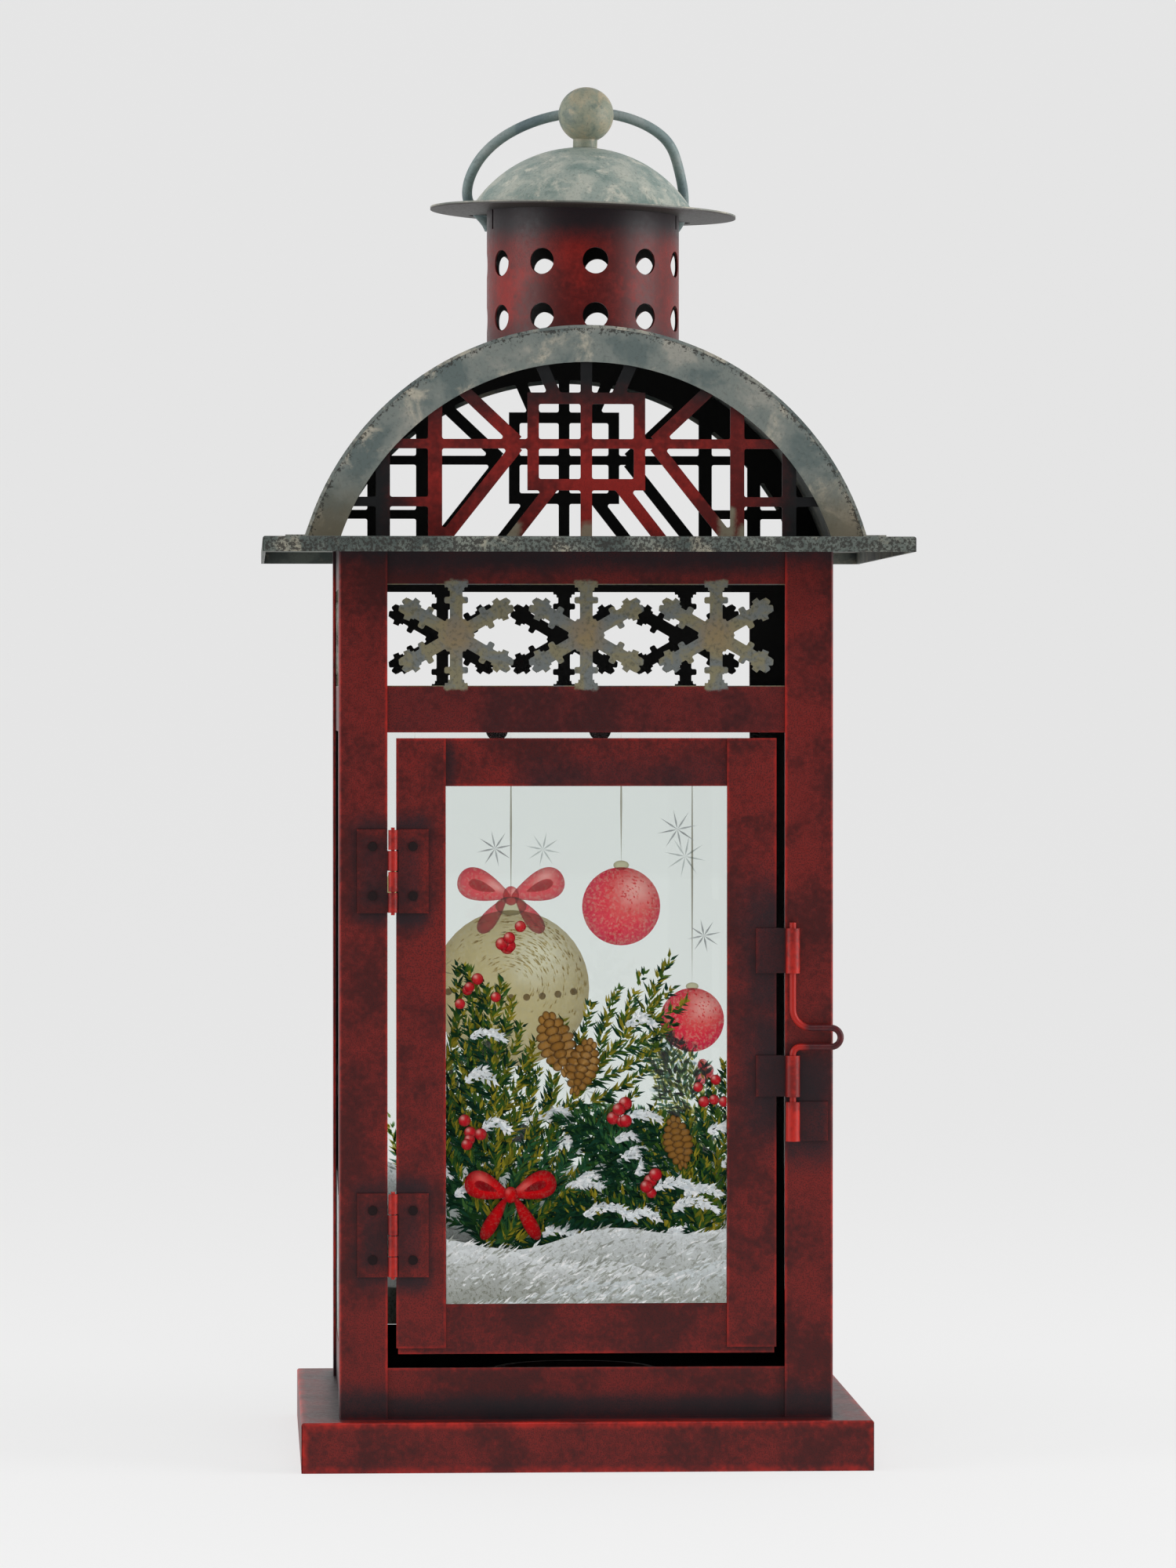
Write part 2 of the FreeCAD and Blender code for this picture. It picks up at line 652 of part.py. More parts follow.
parts["latch_guide_upper"] = rolled_guide(upper_guide_z, upper_guide_height, -1, door_face, guide_reach)
parts["latch_guide_lower"] = rolled_guide(lower_guide_z, lower_guide_height, -1, door_face, guide_reach)
parts["latch_keeper"] = rolled_guide(keeper_z, keeper_height, 1, -half, keeper_reach)

# Bolt: straight ends in the guides and a finger loop between them
bolt_show = 1.5
bolt_engaged = 6.0
loop_reach = 10.1
loop_r = 2.5
upper_bend_r = 5.0
lower_bend_r = 2.0
bolt_top = upper_guide_z + upper_guide_height + bolt_show
loop_low_z = lower_guide_z + lower_guide_height + lower_bend_r + slip
loop_high_z = loop_low_z + 2 * loop_r
bolt_end = keeper_z + keeper_height - bolt_engaged


def corner_arc(before, corner, after, radius):
    """The two tangent points and the middle point of an arc that rounds a corner."""
    to_before = before.sub(corner).normalize()
    to_after = after.sub(corner).normalize()
    half_angle = to_before.getAngle(to_after) / 2
    setback = radius / math.tan(half_angle)
    bisector = (to_before + to_after).normalize()
    centre = corner + bisector * (radius / math.sin(half_angle))
    return corner + to_before * setback, centre - bisector * radius, corner + to_after * setback


def pipe(runs, radius):
    """A round wire along a smooth path of lines and arcs."""
    path = Part.Wire([run.toShape() for run in runs])
    first = path.OrderedEdges[0]
    section = Part.Wire(Part.Circle(path.OrderedVertexes[0].Point, first.tangentAt(first.FirstParameter),
                                    radius).toShape())
    return path.makePipe(Part.Face(section))


top_point = V(bolt_x, bolt_y, bolt_top)
high_corner = V(bolt_x, bolt_y, loop_high_z)
loop_high = V(bolt_x + loop_reach, bolt_y, loop_high_z)
loop_end = V(bolt_x + loop_reach + loop_r, bolt_y, loop_high_z - loop_r)
loop_low = V(bolt_x + loop_reach, bolt_y, loop_low_z)
low_corner = V(bolt_x, bolt_y, loop_low_z)
end_point = V(bolt_x, bolt_y, bolt_end)
a0, a1, a2 = corner_arc(top_point, high_corner, loop_high, upper_bend_r)
b0, b1, b2 = corner_arc(loop_low, low_corner, end_point, lower_bend_r)
bolt_runs = [Part.LineSegment(top_point, a0), Part.Arc(a0, a1, a2), Part.LineSegment(a2, loop_high),
             Part.Arc(loop_high, loop_end, loop_low), Part.LineSegment(loop_low, b0),
             Part.Arc(b0, b1, b2), Part.LineSegment(b2, end_point)]
parts["latch_bolt"] = pipe(bolt_runs, bolt_r)

# Bail: a wire hoop through the two holes of the brim. It leans forward against the ball.
bail_wire_r = 1.4
bail_bulge = 1.55
bail_short_r = 19.4
bail_centre_x = -2.1
bail_centre_up = 10.0
bail_roll = 11.3
bail_hook = 4.2
bail_hook_in = 3.0
bail_turns = (-4, 20, 45, 70, 90, 110, 135, 160, 184)
bail_arc_fit = 0.05
bail_long_r = bail_half + bail_bulge
bail_pivot_z = collar_top + tin / 2
bail_pivot = V(0, bail_back, bail_pivot_z)
bail_top_y = ball_r + bail_wire_r + slip
bail_lean = math.degrees(math.asin((bail_back - bail_top_y) / (bail_centre_up + bail_short_r)))


def bail():
    """The hoop, drawn upright over the pivot line and then leaned forward. It is part of an
    oval that ends in a straight leg and a hook turned inwards under the brim on each side."""
    roll = math.radians(bail_roll)
    long_way = V(math.cos(roll), 0, math.sin(roll))
    short_way = V(-math.sin(roll), 0, math.cos(roll))
    centre = V(bail_centre_x, bail_back, bail_pivot_z + bail_centre_up)
    points = []
    for turn in bail_turns:
        t = math.radians(turn)
        points.append(centre + long_way * (bail_long_r * math.cos(t))
                      + short_way * (bail_short_r * math.sin(t)))
    right_foot = V(bail_half, bail_back, bail_pivot_z)
    left_foot = V(-bail_half, bail_back, bail_pivot_z)
    right_hook = right_foot + V(-bail_hook_in, 0, -bail_hook)
    left_hook = left_foot + V(bail_hook_in, 0, -bail_hook)
    curve = Part.BSplineCurve()
    curve.interpolate([right_hook, right_foot] + points + [left_foot, left_hook])
    hoop = pipe(curve.toBiArcs(bail_arc_fit), bail_wire_r)
    hoop.rotate(bail_pivot, V(1, 0, 0), bail_lean)
    return tilted(hoop)


parts["bail"] = bail()

os.makedirs("parts", exist_ok=True)
for name, shape in parts.items():
    solids = shape.Solids
    shape = solids[0] if len(solids) == 1 else Part.makeCompound(solids)
    shape.exportStep("parts/" + name + ".step")
    print(name, len(solids), round(shape.Volume, 1), shape.isValid())

bail_axis = FreeCAD.Rotation(V(0, 1, 0), cap_tilt)
pivot_place = bail_axis.multVec(bail_pivot.sub(V(0, 0, collar_top))) + cap_seat
print("hinge pin", round(pin_x, 3), round(pin_y, 3))
print("bail pivot", pivot_place, "along", bail_axis.multVec(V(1, 0, 0)), "lean", round(bail_lean, 2))
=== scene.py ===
"""A square tin candle lantern: a red body wiped with black, a roof painted like old pewter, and
panes with a printed winter design. Meshes are in metres, and every pattern is worked out in
millimetres on the piece itself."""
import bpy
import numpy as np
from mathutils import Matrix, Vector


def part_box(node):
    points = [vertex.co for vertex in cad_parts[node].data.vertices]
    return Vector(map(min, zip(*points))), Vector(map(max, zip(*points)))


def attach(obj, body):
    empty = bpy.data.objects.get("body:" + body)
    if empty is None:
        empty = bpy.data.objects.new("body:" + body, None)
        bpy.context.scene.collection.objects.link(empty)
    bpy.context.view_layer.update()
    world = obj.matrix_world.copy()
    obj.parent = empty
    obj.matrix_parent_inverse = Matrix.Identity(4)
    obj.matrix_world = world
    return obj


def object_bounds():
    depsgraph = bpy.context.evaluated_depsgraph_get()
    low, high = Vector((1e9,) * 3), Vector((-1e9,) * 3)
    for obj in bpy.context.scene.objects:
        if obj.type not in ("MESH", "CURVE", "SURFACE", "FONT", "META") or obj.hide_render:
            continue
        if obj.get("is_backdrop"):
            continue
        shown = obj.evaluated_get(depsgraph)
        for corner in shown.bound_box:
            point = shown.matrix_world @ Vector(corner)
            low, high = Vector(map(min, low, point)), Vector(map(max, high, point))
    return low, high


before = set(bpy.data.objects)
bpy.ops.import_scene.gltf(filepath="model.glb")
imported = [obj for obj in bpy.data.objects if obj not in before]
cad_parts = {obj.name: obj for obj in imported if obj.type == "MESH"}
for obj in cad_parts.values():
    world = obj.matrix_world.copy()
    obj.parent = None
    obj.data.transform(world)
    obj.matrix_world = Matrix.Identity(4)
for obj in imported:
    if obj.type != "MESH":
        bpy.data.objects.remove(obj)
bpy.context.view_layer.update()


# Base tray. It is folded from tinplate, sprayed dark red, wiped with thinned black, and then rubbed back.
# Its folds are bright red, as rubbed wear and painted highlight, and painted shade darkens it where the
# body stands on it and along its lower edge.
def srgb(code):
    """A hex colour as the linear red, green, blue and alpha that a shader needs."""
    levels = np.array([int(code[i:i + 2], 16) for i in (1, 3, 5)]) / 255
    linear = np.where(levels <= 0.04045, levels / 12.92, ((levels + 0.055) / 1.055) ** 2.4)
    return (*linear.tolist(), 1.0)


def add(tree, kind, *values, out=0, **settings):
    """Adds a shader node and returns its output number out. The values fill its first inputs in
    turn, and the settings name other inputs or properties. A value that is an output is linked."""
    made = tree.nodes.new("ShaderNode" + kind)
    for key in [key for key in settings if hasattr(made, key)]:
        setattr(made, key, settings.pop(key))
    filled = list(zip(made.inputs, values))
    filled += [(made.inputs[key.replace("_", " ")], value) for key, value in settings.items()]
    for socket, value in filled:
        if isinstance(value, bpy.types.NodeSocket):
            tree.links.new(value, socket)
        else:
            socket.default_value = value
    return made.outputs[out] if made.outputs else made


metre = 1000.0  # in millimetres


def new_finish(name):
    """An empty material, its node tree, and the place on the piece in millimetres."""
    finish = bpy.data.materials.new(name)
    finish.use_nodes = True
    tree = finish.node_tree
    tree.nodes.clear()
    in_metres = add(tree, "TexCoord", out=3)
    return finish, tree, add(tree, "VectorMath", in_metres, operation="SCALE", Scale=metre)


# The noises of the enamel, in spots per millimetre: clouds 18 mm wide, mottles of 1.5 mm, and grains
# of 0.4 mm, which are finer on real enamel and drawn this coarse so that they show. The edges of a
# coat are ragged by spots of 3 mm.
clouds, mottles, grains, tatters, edge_spots = 0.055, 0.65, 2.6, 0.35, 0.3
seam = 0.1  # half the width over which one side's coat gives way to another's


def near(tree, place, low, high, fade, ragged=0.0):
    """1 inside the box from low to high, falling to 0 over fade millimetres outside it. The
    distance to the box is the length of |place - centre| - half where that is above zero, and
    ragged makes it uneven."""
    centre = [(a + b) / 2 for a, b in zip(low, high)]
    half = [(b - a) / 2 for a, b in zip(low, high)]
    off = add(tree, "VectorMath", place, centre, operation="SUBTRACT")
    off = add(tree, "VectorMath", off, operation="ABSOLUTE")
    off = add(tree, "VectorMath", off, half, operation="SUBTRACT")
    off = add(tree, "VectorMath", off, (0, 0, 0), operation="MAXIMUM")
    away = add(tree, "VectorMath", off, operation="LENGTH", out=1)
    if ragged:
        rough = add(tree, "TexNoise", place, Scale=tatters, Detail=4.0, Roughness=0.65)
        away = add(tree, "Math", rough, 2 * ragged, away, operation="MULTIPLY_ADD")
    return add(tree, "MapRange", away, ragged, ragged + fade, 1.0, 0.0, interpolation_type="SMOOTHSTEP")


def most(tree, masks):
    """The largest of several masks."""
    whole = masks[0]
    for mask in masks[1:]:
        whole = add(tree, "Math", whole, mask, operation="MAXIMUM")
    return whole


def inner_side(tree, place, facing, middle):
    """1 on the inner side of a sheet, nearer the candle than middle. Facing "walls" measures the
    larger of |x| and |y|, and "front" measures -y."""
    if facing == "front":
        reach = add(tree, "VectorMath", place, (0, -1, 0), operation="DOT_PRODUCT", out=1)
    else:
        flat = add(tree, "VectorMath", place, operation="ABSOLUTE")
        across = add(tree, "SeparateXYZ", flat).node.outputs
        reach = add(tree, "Math", across[0], across[1], operation="MAXIMUM")
    return add(tree, "MapRange", reach, middle - seam, middle + seam, 1.0, 0.0)


def box_edges(tree, place, low, high, width, ragged):
    """1 along the edges of the box from low to high, falling to 0 over width. Of the three
    distances to the nearest faces, an edge is where the second smallest is small, and that is
    max(min(a, b), min(max(a, b), c))."""
    centre = [(a + b) / 2 for a, b in zip(low, high)]
    half = [(b - a) / 2 for a, b in zip(low, high)]
    off = add(tree, "VectorMath", place, centre, operation="SUBTRACT")
    off = add(tree, "VectorMath", off, operation="ABSOLUTE")
    deep = add(tree, "VectorMath", half, off, operation="SUBTRACT")
    a, b, c = add(tree, "SeparateXYZ", deep).node.outputs
    less = add(tree, "Math", a, b, operation="MINIMUM")
    more = add(tree, "Math", a, b, operation="MAXIMUM")
    more = add(tree, "Math", more, c, operation="MINIMUM")
    second = add(tree, "Math", less, more, operation="MAXIMUM")
    rough = add(tree, "TexNoise", place, Scale=edge_spots, Detail=5.0, Roughness=0.7)
    second = add(tree, "Math", rough, 2 * ragged, second, operation="MULTIPLY_ADD")
    return add(tree, "MapRange", second, ragged, ragged + width, 1.0, 0.0,
               interpolation_type="SMOOTHSTEP")


def red_enamel(name, low, high, soot_and_shade=(), glow=(), inside=None, worn_and_lit_edge=0.9, ragged=0.7, wear_and_sheen=0.40,
               bright=0.0, over=None):
    """Satin red enamel wiped with black: maroon in the middle of a strip, and bright along the
    edges of the box from low to high, as rubbed wear and painted highlight, as strongly as the
    edge strength says. Soot and glow are boxes, each with a fade and a strength: dark where the
    wipe stayed on and where shade is painted, and bright where the wipe came off and where light is
    painted. Over lays one more coat on the colour, and inside is how the side towards the candle is found."""
    finish, tree, place = new_finish(name)
    cloud = add(tree, "TexNoise", place, Scale=clouds, Detail=3.0, Roughness=0.6)
    mottle = add(tree, "TexNoise", place, Scale=mottles, Detail=5.0, Roughness=0.7)
    grain = add(tree, "TexNoise", place, Scale=grains, Detail=3.0, Roughness=0.6)
    uneven = add(tree, "MixRGB", 0.62, mottle, cloud)
    share = add(tree, "MapRange", uneven, 0.40, 0.60, interpolation_type="SMOOTHSTEP")
    colour = add(tree, "MixRGB", share, srgb("#470E0D"), srgb("#751A16"))
    specks = add(tree, "MapRange", grain, 0.44, 0.62, 0.0, 0.60, interpolation_type="SMOOTHSTEP")
    colour = add(tree, "MixRGB", specks, colour, srgb("#270C0F"))
    bright_marks = []
    if worn_and_lit_edge:
        edge = box_edges(tree, place, low, high, worn_and_lit_edge, ragged)
        patchy = add(tree, "MapRange", uneven, 0.40, 0.62, 0.3 * wear_and_sheen, 1.3 * wear_and_sheen,
                     interpolation_type="SMOOTHSTEP")
        bright_marks.append(add(tree, "Math", edge, patchy, operation="MULTIPLY"))
    for a, b, fade, strength in glow:
        patchy = add(tree, "MapRange", uneven, 0.38, 0.60, 0.3 * strength, strength,
                     interpolation_type="SMOOTHSTEP")
        spot = near(tree, place, a, b, fade, fade / 2)
        bright_marks.append(add(tree, "Math", spot, patchy, operation="MULTIPLY"))
    # Bright red along the edges and in the glow boxes: worn paint, and also painted highlight on the edges
    # and painted light in some boxes.
    if bright_marks or bright:
        bright_red = add(tree, "MixRGB", mottle, srgb("#A51812"), srgb("#C62618"))
        colour = add(tree, "MixRGB", most(tree, bright_marks + [bright]), colour, bright_red)
    # Black where the wipe stayed on. In most places it is painted shade under the roof, at the feet and
    # between parts.
    if soot_and_shade:
        shade_and_stains = [(near(tree, place, a, b, fade, fade / 3), strength) for a, b, fade, strength in soot_and_shade]
        black = most(tree, [add(tree, "Math", stain, strength, operation="MULTIPLY")
                            for stain, strength in shade_and_stains])
        thick = add(tree, "MapRange", mottle, 0.25, 0.60, 0.78, 1.0)
        black = add(tree, "Math", black, thick, operation="MULTIPLY")
        colour = add(tree, "MixRGB", black, colour, srgb("#10131A"))
    if over:
        colour = over(tree, place, colour)
    if inside:
        colour = add(tree, "MixRGB", inner_side(tree, place, *inside), colour, srgb("#0D0C0C"))
    skin = add(tree, "MixRGB", 0.5, grain, mottle)
    rough = add(tree, "MapRange", mottle, 0.3, 0.7, 0.36, 0.50)
    relief = add(tree, "Bump", Strength=0.4, Distance=0.05 / metre, Height=skin)
    shader = add(tree, "BsdfPrincipled", Base_Color=colour, Roughness=rough, Specular_IOR_Level=0.32,
                 Normal=relief)
    add(tree, "OutputMaterial", shader)
    return finish


def corners(node):
    """The lowest and highest corner of a node in millimetres."""
    return [list(corner * metre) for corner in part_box(node)]


def put_on(node, finish):
    """Gives a node of the frame its finish."""
    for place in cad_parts[node].material_slots:
        place.material = finish


def grown(low, high, across, down, up):
    """A box that reaches across further on its four sides, down below low and up above high."""
    return ([low[0] - across, low[1] - across, low[2] - down],
            [high[0] + across, high[1] + across, high[2] + up])


base_low, base_high = corners("base_tray")
body = corners("corner_post_front_right")[1][0]  # half the body's width, at the posts' outer sides
lower_edge_shade = 0.6  # how high the painted shade stands on the lower edge
# Painted shade where the body stands on the base and along its lower edge.
under_body = ([-body, -body, base_high[2] - 1], [body, body, base_high[2] + 1], 5.0, 0.9)
lower_edge = (*grown(base_low, [base_high[0], base_high[1], 0], 1, 1, lower_edge_shade), 3.0, 0.3)
put_on("base_tray", red_enamel("red_enamel_base", base_low, base_high, worn_and_lit_edge=2.4, ragged=1.5, wear_and_sheen=0.75,
                               soot_and_shade=[under_body, lower_edge]))

# Candle cup. A pressed cup soldered to the base and sprayed with the same red. It is painted nearly
# black all over.
cup_low, cup_high = corners("candle_cup")
put_on("candle_cup", red_enamel("red_enamel_cup", cup_low, cup_high, worn_and_lit_edge=0,
                                soot_and_shade=[(cup_low, cup_high, 1.0, 0.85)]))

# Corner posts. Angles folded from strip, bright along the fold as rubbed wear and painted highlight,
# with painted shade in black at the foot, under the roof, and round the hinges and the latch.
foot_shade, red_depth = 4.5, 0.65  # height of the painted shade at the foot, and how deep the red goes at cut edges
hinge_box = {end: (corners("hinge_post_leaf_" + end)[0], corners("hinge_door_leaf_" + end)[1])
             for end in ("lower", "upper")}
keeper_low, keeper_high = corners("latch_keeper")
bolt_low, bolt_high = corners("latch_bolt")
for name in ("front_right", "back_right", "back_left", "front_left"):
    low, high = corners("corner_post_" + name)
    # Painted shade in black at the foot and under the roof.
    soot_and_shade = [(*grown(low, [high[0], high[1], low[2]], 1, 2, foot_shade), 7.0, 0.9),
            (*grown([low[0], low[1], high[2]], high, 1, 2, 0), 8.0, 0.9)]
    # Painted shade round the hinges and the latch keeper.
    if name == "front_left":
        soot_and_shade += [([a[0] + 3, a[1], a[2] + 1], [b[0], b[1], b[2] - 1], 7.0, 0.85)
                 for a, b in hinge_box.values()]
    if name == "front_right":
        soot_and_shade += [([keeper_low[0], keeper_low[1], keeper_low[2] - 1],
                  [keeper_high[0] - 3, keeper_high[1], keeper_high[2] + 9], 10.0, 0.85)]
    put_on("corner_post_" + name, red_enamel("red_enamel_post_" + name, low, high, soot_and_shade=soot_and_shade, wear_and_sheen=0.55,
                                             inside=("walls", body - red_depth)))

# Bottom rails. Plain strips of tinplate, soldered behind the feet of the posts, with painted shade
# in black where they meet the base.
wall_depth = 1.2  # from the posts' outer side in to the middle of the sheet behind them
rail_foot_shade = 3.5  # height of the painted shade at the foot
for name in ("front", "right", "back", "left"):
    low, high = corners("bottom_rail_" + name)
    put_on("bottom_rail_" + name, red_enamel(
        "red_enamel_rail_" + name, low, high, inside=("walls", body - wall_depth),
        soot_and_shade=[(*grown(low, [high[0], high[1], low[2]], 0, 2, rail_foot_shade), 5.0, 0.9)]))


# Snowflake friezes. Each is one cut sheet. The bands are red, the flakes were brushed with a dull
# silver that ran over the bands at their feet, and the inner side is black.
lower_band, upper_band, flake_pitch = 12.3, 11.5, 34.2
far = 99.0  # past the lantern on every side
foot_half, run_over = 2.6, 0.6  # half the width of a flake's foot, and how far the silver ran
strokes_wide, strokes_fine = 0.15, 1.0  # spots per millimetre, for strokes 7 mm and hairs 1 mm wide
for name, along in (("front", 0), ("right", 1), ("back", 0), ("left", 1)):
    low, high = corners("frieze_" + name)

    def silver_coat(tree, place, red):
        """Dull silver over the open part of the sheet and round the feet of its flakes, browner
        at their middles. Along is 0 where the wall runs along x and 1 where it runs along y."""
        opening = low[2] + lower_band, high[2] - upper_band
        middle = sum(opening) / 2

        def stretch(centre, half, foot, top, fade, ragged):
            """The mask of a stretch of the wall, half to each side of centre and foot to top up."""
            from_corner, to_corner = [-far, -far, foot], [far, far, top]
            from_corner[along], to_corner[along] = centre - half, centre + half
            return near(tree, place, from_corner, to_corner, fade, ragged)

        masks = [stretch(0, 60, *opening, 0.4, 0.0)]
        masks += [stretch(flake_pitch * k, foot_half, z - run_over, z + run_over, 0.9, 1.2)
                  for k in (-1, 0, 1) for z in opening]
        hubs = [stretch(flake_pitch * k, 1, middle - 1, middle + 1, 6.5, 3.0) for k in (-1, 0, 1)]
        strokes = add(tree, "TexNoise", place, Scale=strokes_wide, Detail=4.0, Roughness=0.6,
                      Distortion=0.8)
        fine = add(tree, "TexNoise", place, Scale=strokes_fine, Detail=4.0, Roughness=0.65)
        grey = add(tree, "MapRange", strokes, 0.40, 0.60, interpolation_type="SMOOTHSTEP")
        silver = add(tree, "MixRGB", grey, srgb("#6C7170"), srgb("#7F795F"))
        tan = add(tree, "Math", most(tree, hubs), 0.7, operation="MULTIPLY")
        silver = add(tree, "MixRGB", tan, silver, srgb("#8B7654"))
        dark = add(tree, "MapRange", fine, 0.48, 0.68, 0.0, 0.6, interpolation_type="SMOOTHSTEP")
        silver = add(tree, "MixRGB", dark, silver, srgb("#4A4A41"))
        return add(tree, "MixRGB", most(tree, masks), red, silver)

    # Painted shade in black under the roof, and a little darker on the lower band.
    under_roof = ([low[0], low[1], high[2] - 5], [high[0], high[1], high[2] + 1], 6.0, 0.9)
    on_band = (low, [high[0], high[1], low[2] + 10], 3.0, 0.25)
    put_on("frieze_" + name, red_enamel("silver_on_red_frieze_" + name, low, high, wear_and_sheen=0.25,
                                        inside=("walls", body - wall_depth), over=silver_coat,
                                        soot_and_shade=[under_roof, on_band]))

# Panes. Float glass 2 mm thick, cut square and held by clips. It is quite clear, with a faint tint of
# green and blue.
glass, tree, place = new_finish("float_glass")
shader = add(tree, "BsdfPrincipled", Base_Color=srgb("#F9FDFB"), Roughness=0.0, IOR=1.5,
             Transmission_Weight=1.0)
add(tree, "OutputMaterial", shader)
for name in ("pane_right", "pane_back", "pane_left", "door_glass"):
    put_on(name, glass)


# Winter prints. Each pane carries a print in thick glass enamel: drifts of snow, evergreen boughs
# with snow, berries and cones, and baubles on threads. A print is built flat, as places across and
# up the pane in millimetres with a colour, and each layer lies a little proud of the one before it.
class Print:
    """The shapes of one print, in the order in which they are laid on."""

    def __init__(self, low, high, seed):
        self.low, self.high = np.array(low), np.array(high)
        self.chance = np.random.default_rng(seed)
        self.points, self.paint, self.faces = [], [], []
        self.count, self.layer = 0, 0.0

    def lay(self, points, faces, paint, rise=0.0):
        """Adds one shape. Points outside the pane are moved to its edge."""
        flat = np.clip(np.asarray(points, float), self.low, self.high)
        self.points.append(np.column_stack([flat, np.full(len(flat), self.layer) + rise]))
        self.faces.append(np.asarray(faces) + self.count)
        self.paint.append(np.broadcast_to(paint, (len(flat), 4)))
        self.count += len(flat)
        self.layer += 0.004

    def dabs(self, roots, ways, longs, wides, tints, fleck=0.0):
        """Brush dabs. Each is a thin diamond from its root along its way, widest at a third of
        its length, in a tint that differs a little from dab to dab."""
        n = len(roots)
        run = np.column_stack([np.cos(ways), np.sin(ways)])
        cross = np.column_stack([-run[:, 1], run[:, 0]]) * (wides / 2)[:, None]
        belly, tip = roots + run * (longs / 3)[:, None], roots + run * longs[:, None]
        points = np.stack([roots, belly + cross, tip, belly - cross], axis=1).reshape(-1, 2)
        codes = np.array([srgb(tint) for tint in tints])
        tint = codes[self.chance.integers(0, len(codes), n)] * self.chance.uniform(0.82, 1.12, (n, 1))
        tint[:, 3] = fleck
        self.lay(points, np.arange(4 * n).reshape(-1, 4), np.repeat(tint, 4, axis=0),
                 np.repeat(self.chance.uniform(0, 0.02, n), 4))
        self.layer += 0.02

    def twig(self, start, heading, curl, length, reach, shade, light):
        """One twig with needles. Its stem is an arc: a share s along it points along
        heading + curl s, and has come length (sin(heading + curl s) - sin heading) / curl across.
        Needles on the upper side catch the light."""
        n = int(length * 4.2)
        s = self.chance.uniform(0, 1, n)
        way = heading + curl * s
        across = start[0] + length * (np.sin(way) - np.sin(heading)) / curl
        up = start[1] - length * (np.cos(way) - np.cos(heading)) / curl
        roots = np.column_stack([across, up]) + self.chance.normal(0, 0.35, (n, 2))
        side = self.chance.choice([-1.0, 1.0], n)
        lean = way + side * np.radians(self.chance.uniform(14, 52, n))
        longs = reach * (1 - 0.45 * s) * self.chance.uniform(0.6, 1.15, n)
        wides = self.chance.uniform(0.55, 1.05, n)
        lit = np.cos(lean - np.radians(60)) > self.chance.uniform(0.1, 1.1, n)
        self.dabs(roots[~lit], lean[~lit], longs[~lit], wides[~lit], shade)
        if lit.any():
            self.dabs(roots[lit], lean[lit], longs[lit] * 0.9, wides[lit] * 0.9, light)

    def snow(self, x, z, wide, high):
        """A dab of snow that sags at both ends, in short ragged strokes."""
        n = int(wide * 9)
        u, v = self.chance.uniform(-1, 1, n), self.chance.uniform(-1, 1, n)
        sag = 0.9 * high * u * u
        roots = np.column_stack([x + u * wide / 2, z + v * high / 2 * np.sqrt(1 - u * u) - sag])
        self.dabs(roots, self.chance.normal(0, 0.5, n) - 0.5 * u, self.chance.uniform(1.0, 2.4, n),
                  self.chance.uniform(0.5, 1.1, n),
                  ("#EEF2F3", "#FAFBFB", "#E2E8EA", "#CFD8DC", "#E8EDEF"), 0.1)

    def bough(self, start, heading, curl, length, reach, shade, light, snow=4):
        """A stem with twigs on both sides, each shorter than the one before, a leading twig, and
        dabs of snow."""
        def arc(s):
            """The place at the share s along the stem, as on a twig."""
            return (start[0] + length * (np.sin(heading + curl * s) - np.sin(heading)) / curl,
                    start[1] - length * (np.cos(heading + curl * s) - np.cos(heading)) / curl)
        for k in range(8):
            s = 0.06 + 0.115 * k
            for side in (-1, 1):
                self.twig(arc(s + 0.03 * side), heading + curl * s + side * np.radians(46 - 2 * k),
                          -side * 0.4, length * (0.44 - 0.036 * k), reach, shade, light)
        self.twig(start, heading, curl, length, reach, shade, light)
        for s in self.chance.uniform(0.2, 0.95, snow):
            x, z = arc(s)
            self.snow(x + self.chance.uniform(-6, 6), z + 1.5, self.chance.uniform(6, 13),
                      self.chance.uniform(1.6, 2.6))

    def drift(self, top, foot, bright, dull):
        """Snow between the height foot and top(across). Row j of a grid lies at the share j / n
        of the way up, and the colour goes from dull to bright. Slanting strokes lie over it."""
        across, up = np.meshgrid(np.linspace(self.low[0], self.high[0], 90), np.linspace(0, 1, 12))
        height = foot + up * (top(across) - foot)
        n, m = across.shape
        first = (np.arange(n - 1)[:, None] * m + np.arange(m - 1)).ravel()
        share = up.ravel()[:, None] ** 1.5
        paint = (1 - share) * np.array(srgb(dull)) + share * np.array(srgb(bright))
        paint[:, 3] = 0.95 - 0.65 * share[:, 0]
        self.lay(np.column_stack([across.ravel(), height.ravel()]),
                 np.column_stack([first, first + 1, first + m + 1, first + m]), paint)
        count = int((self.high[0] - self.low[0]) * 5)
        x = self.chance.uniform(self.low[0], self.high[0], count)
        z = foot + (top(x) - foot) * self.chance.uniform(0.1, 1.0, count) ** 0.6
        self.dabs(np.column_stack([x, z]), self.chance.normal(0.55, 0.2, count),
                  self.chance.uniform(1, 4, count), self.chance.uniform(0.3, 0.8, count),
                  (bright, "#F8FAFA", dull), 0.3)

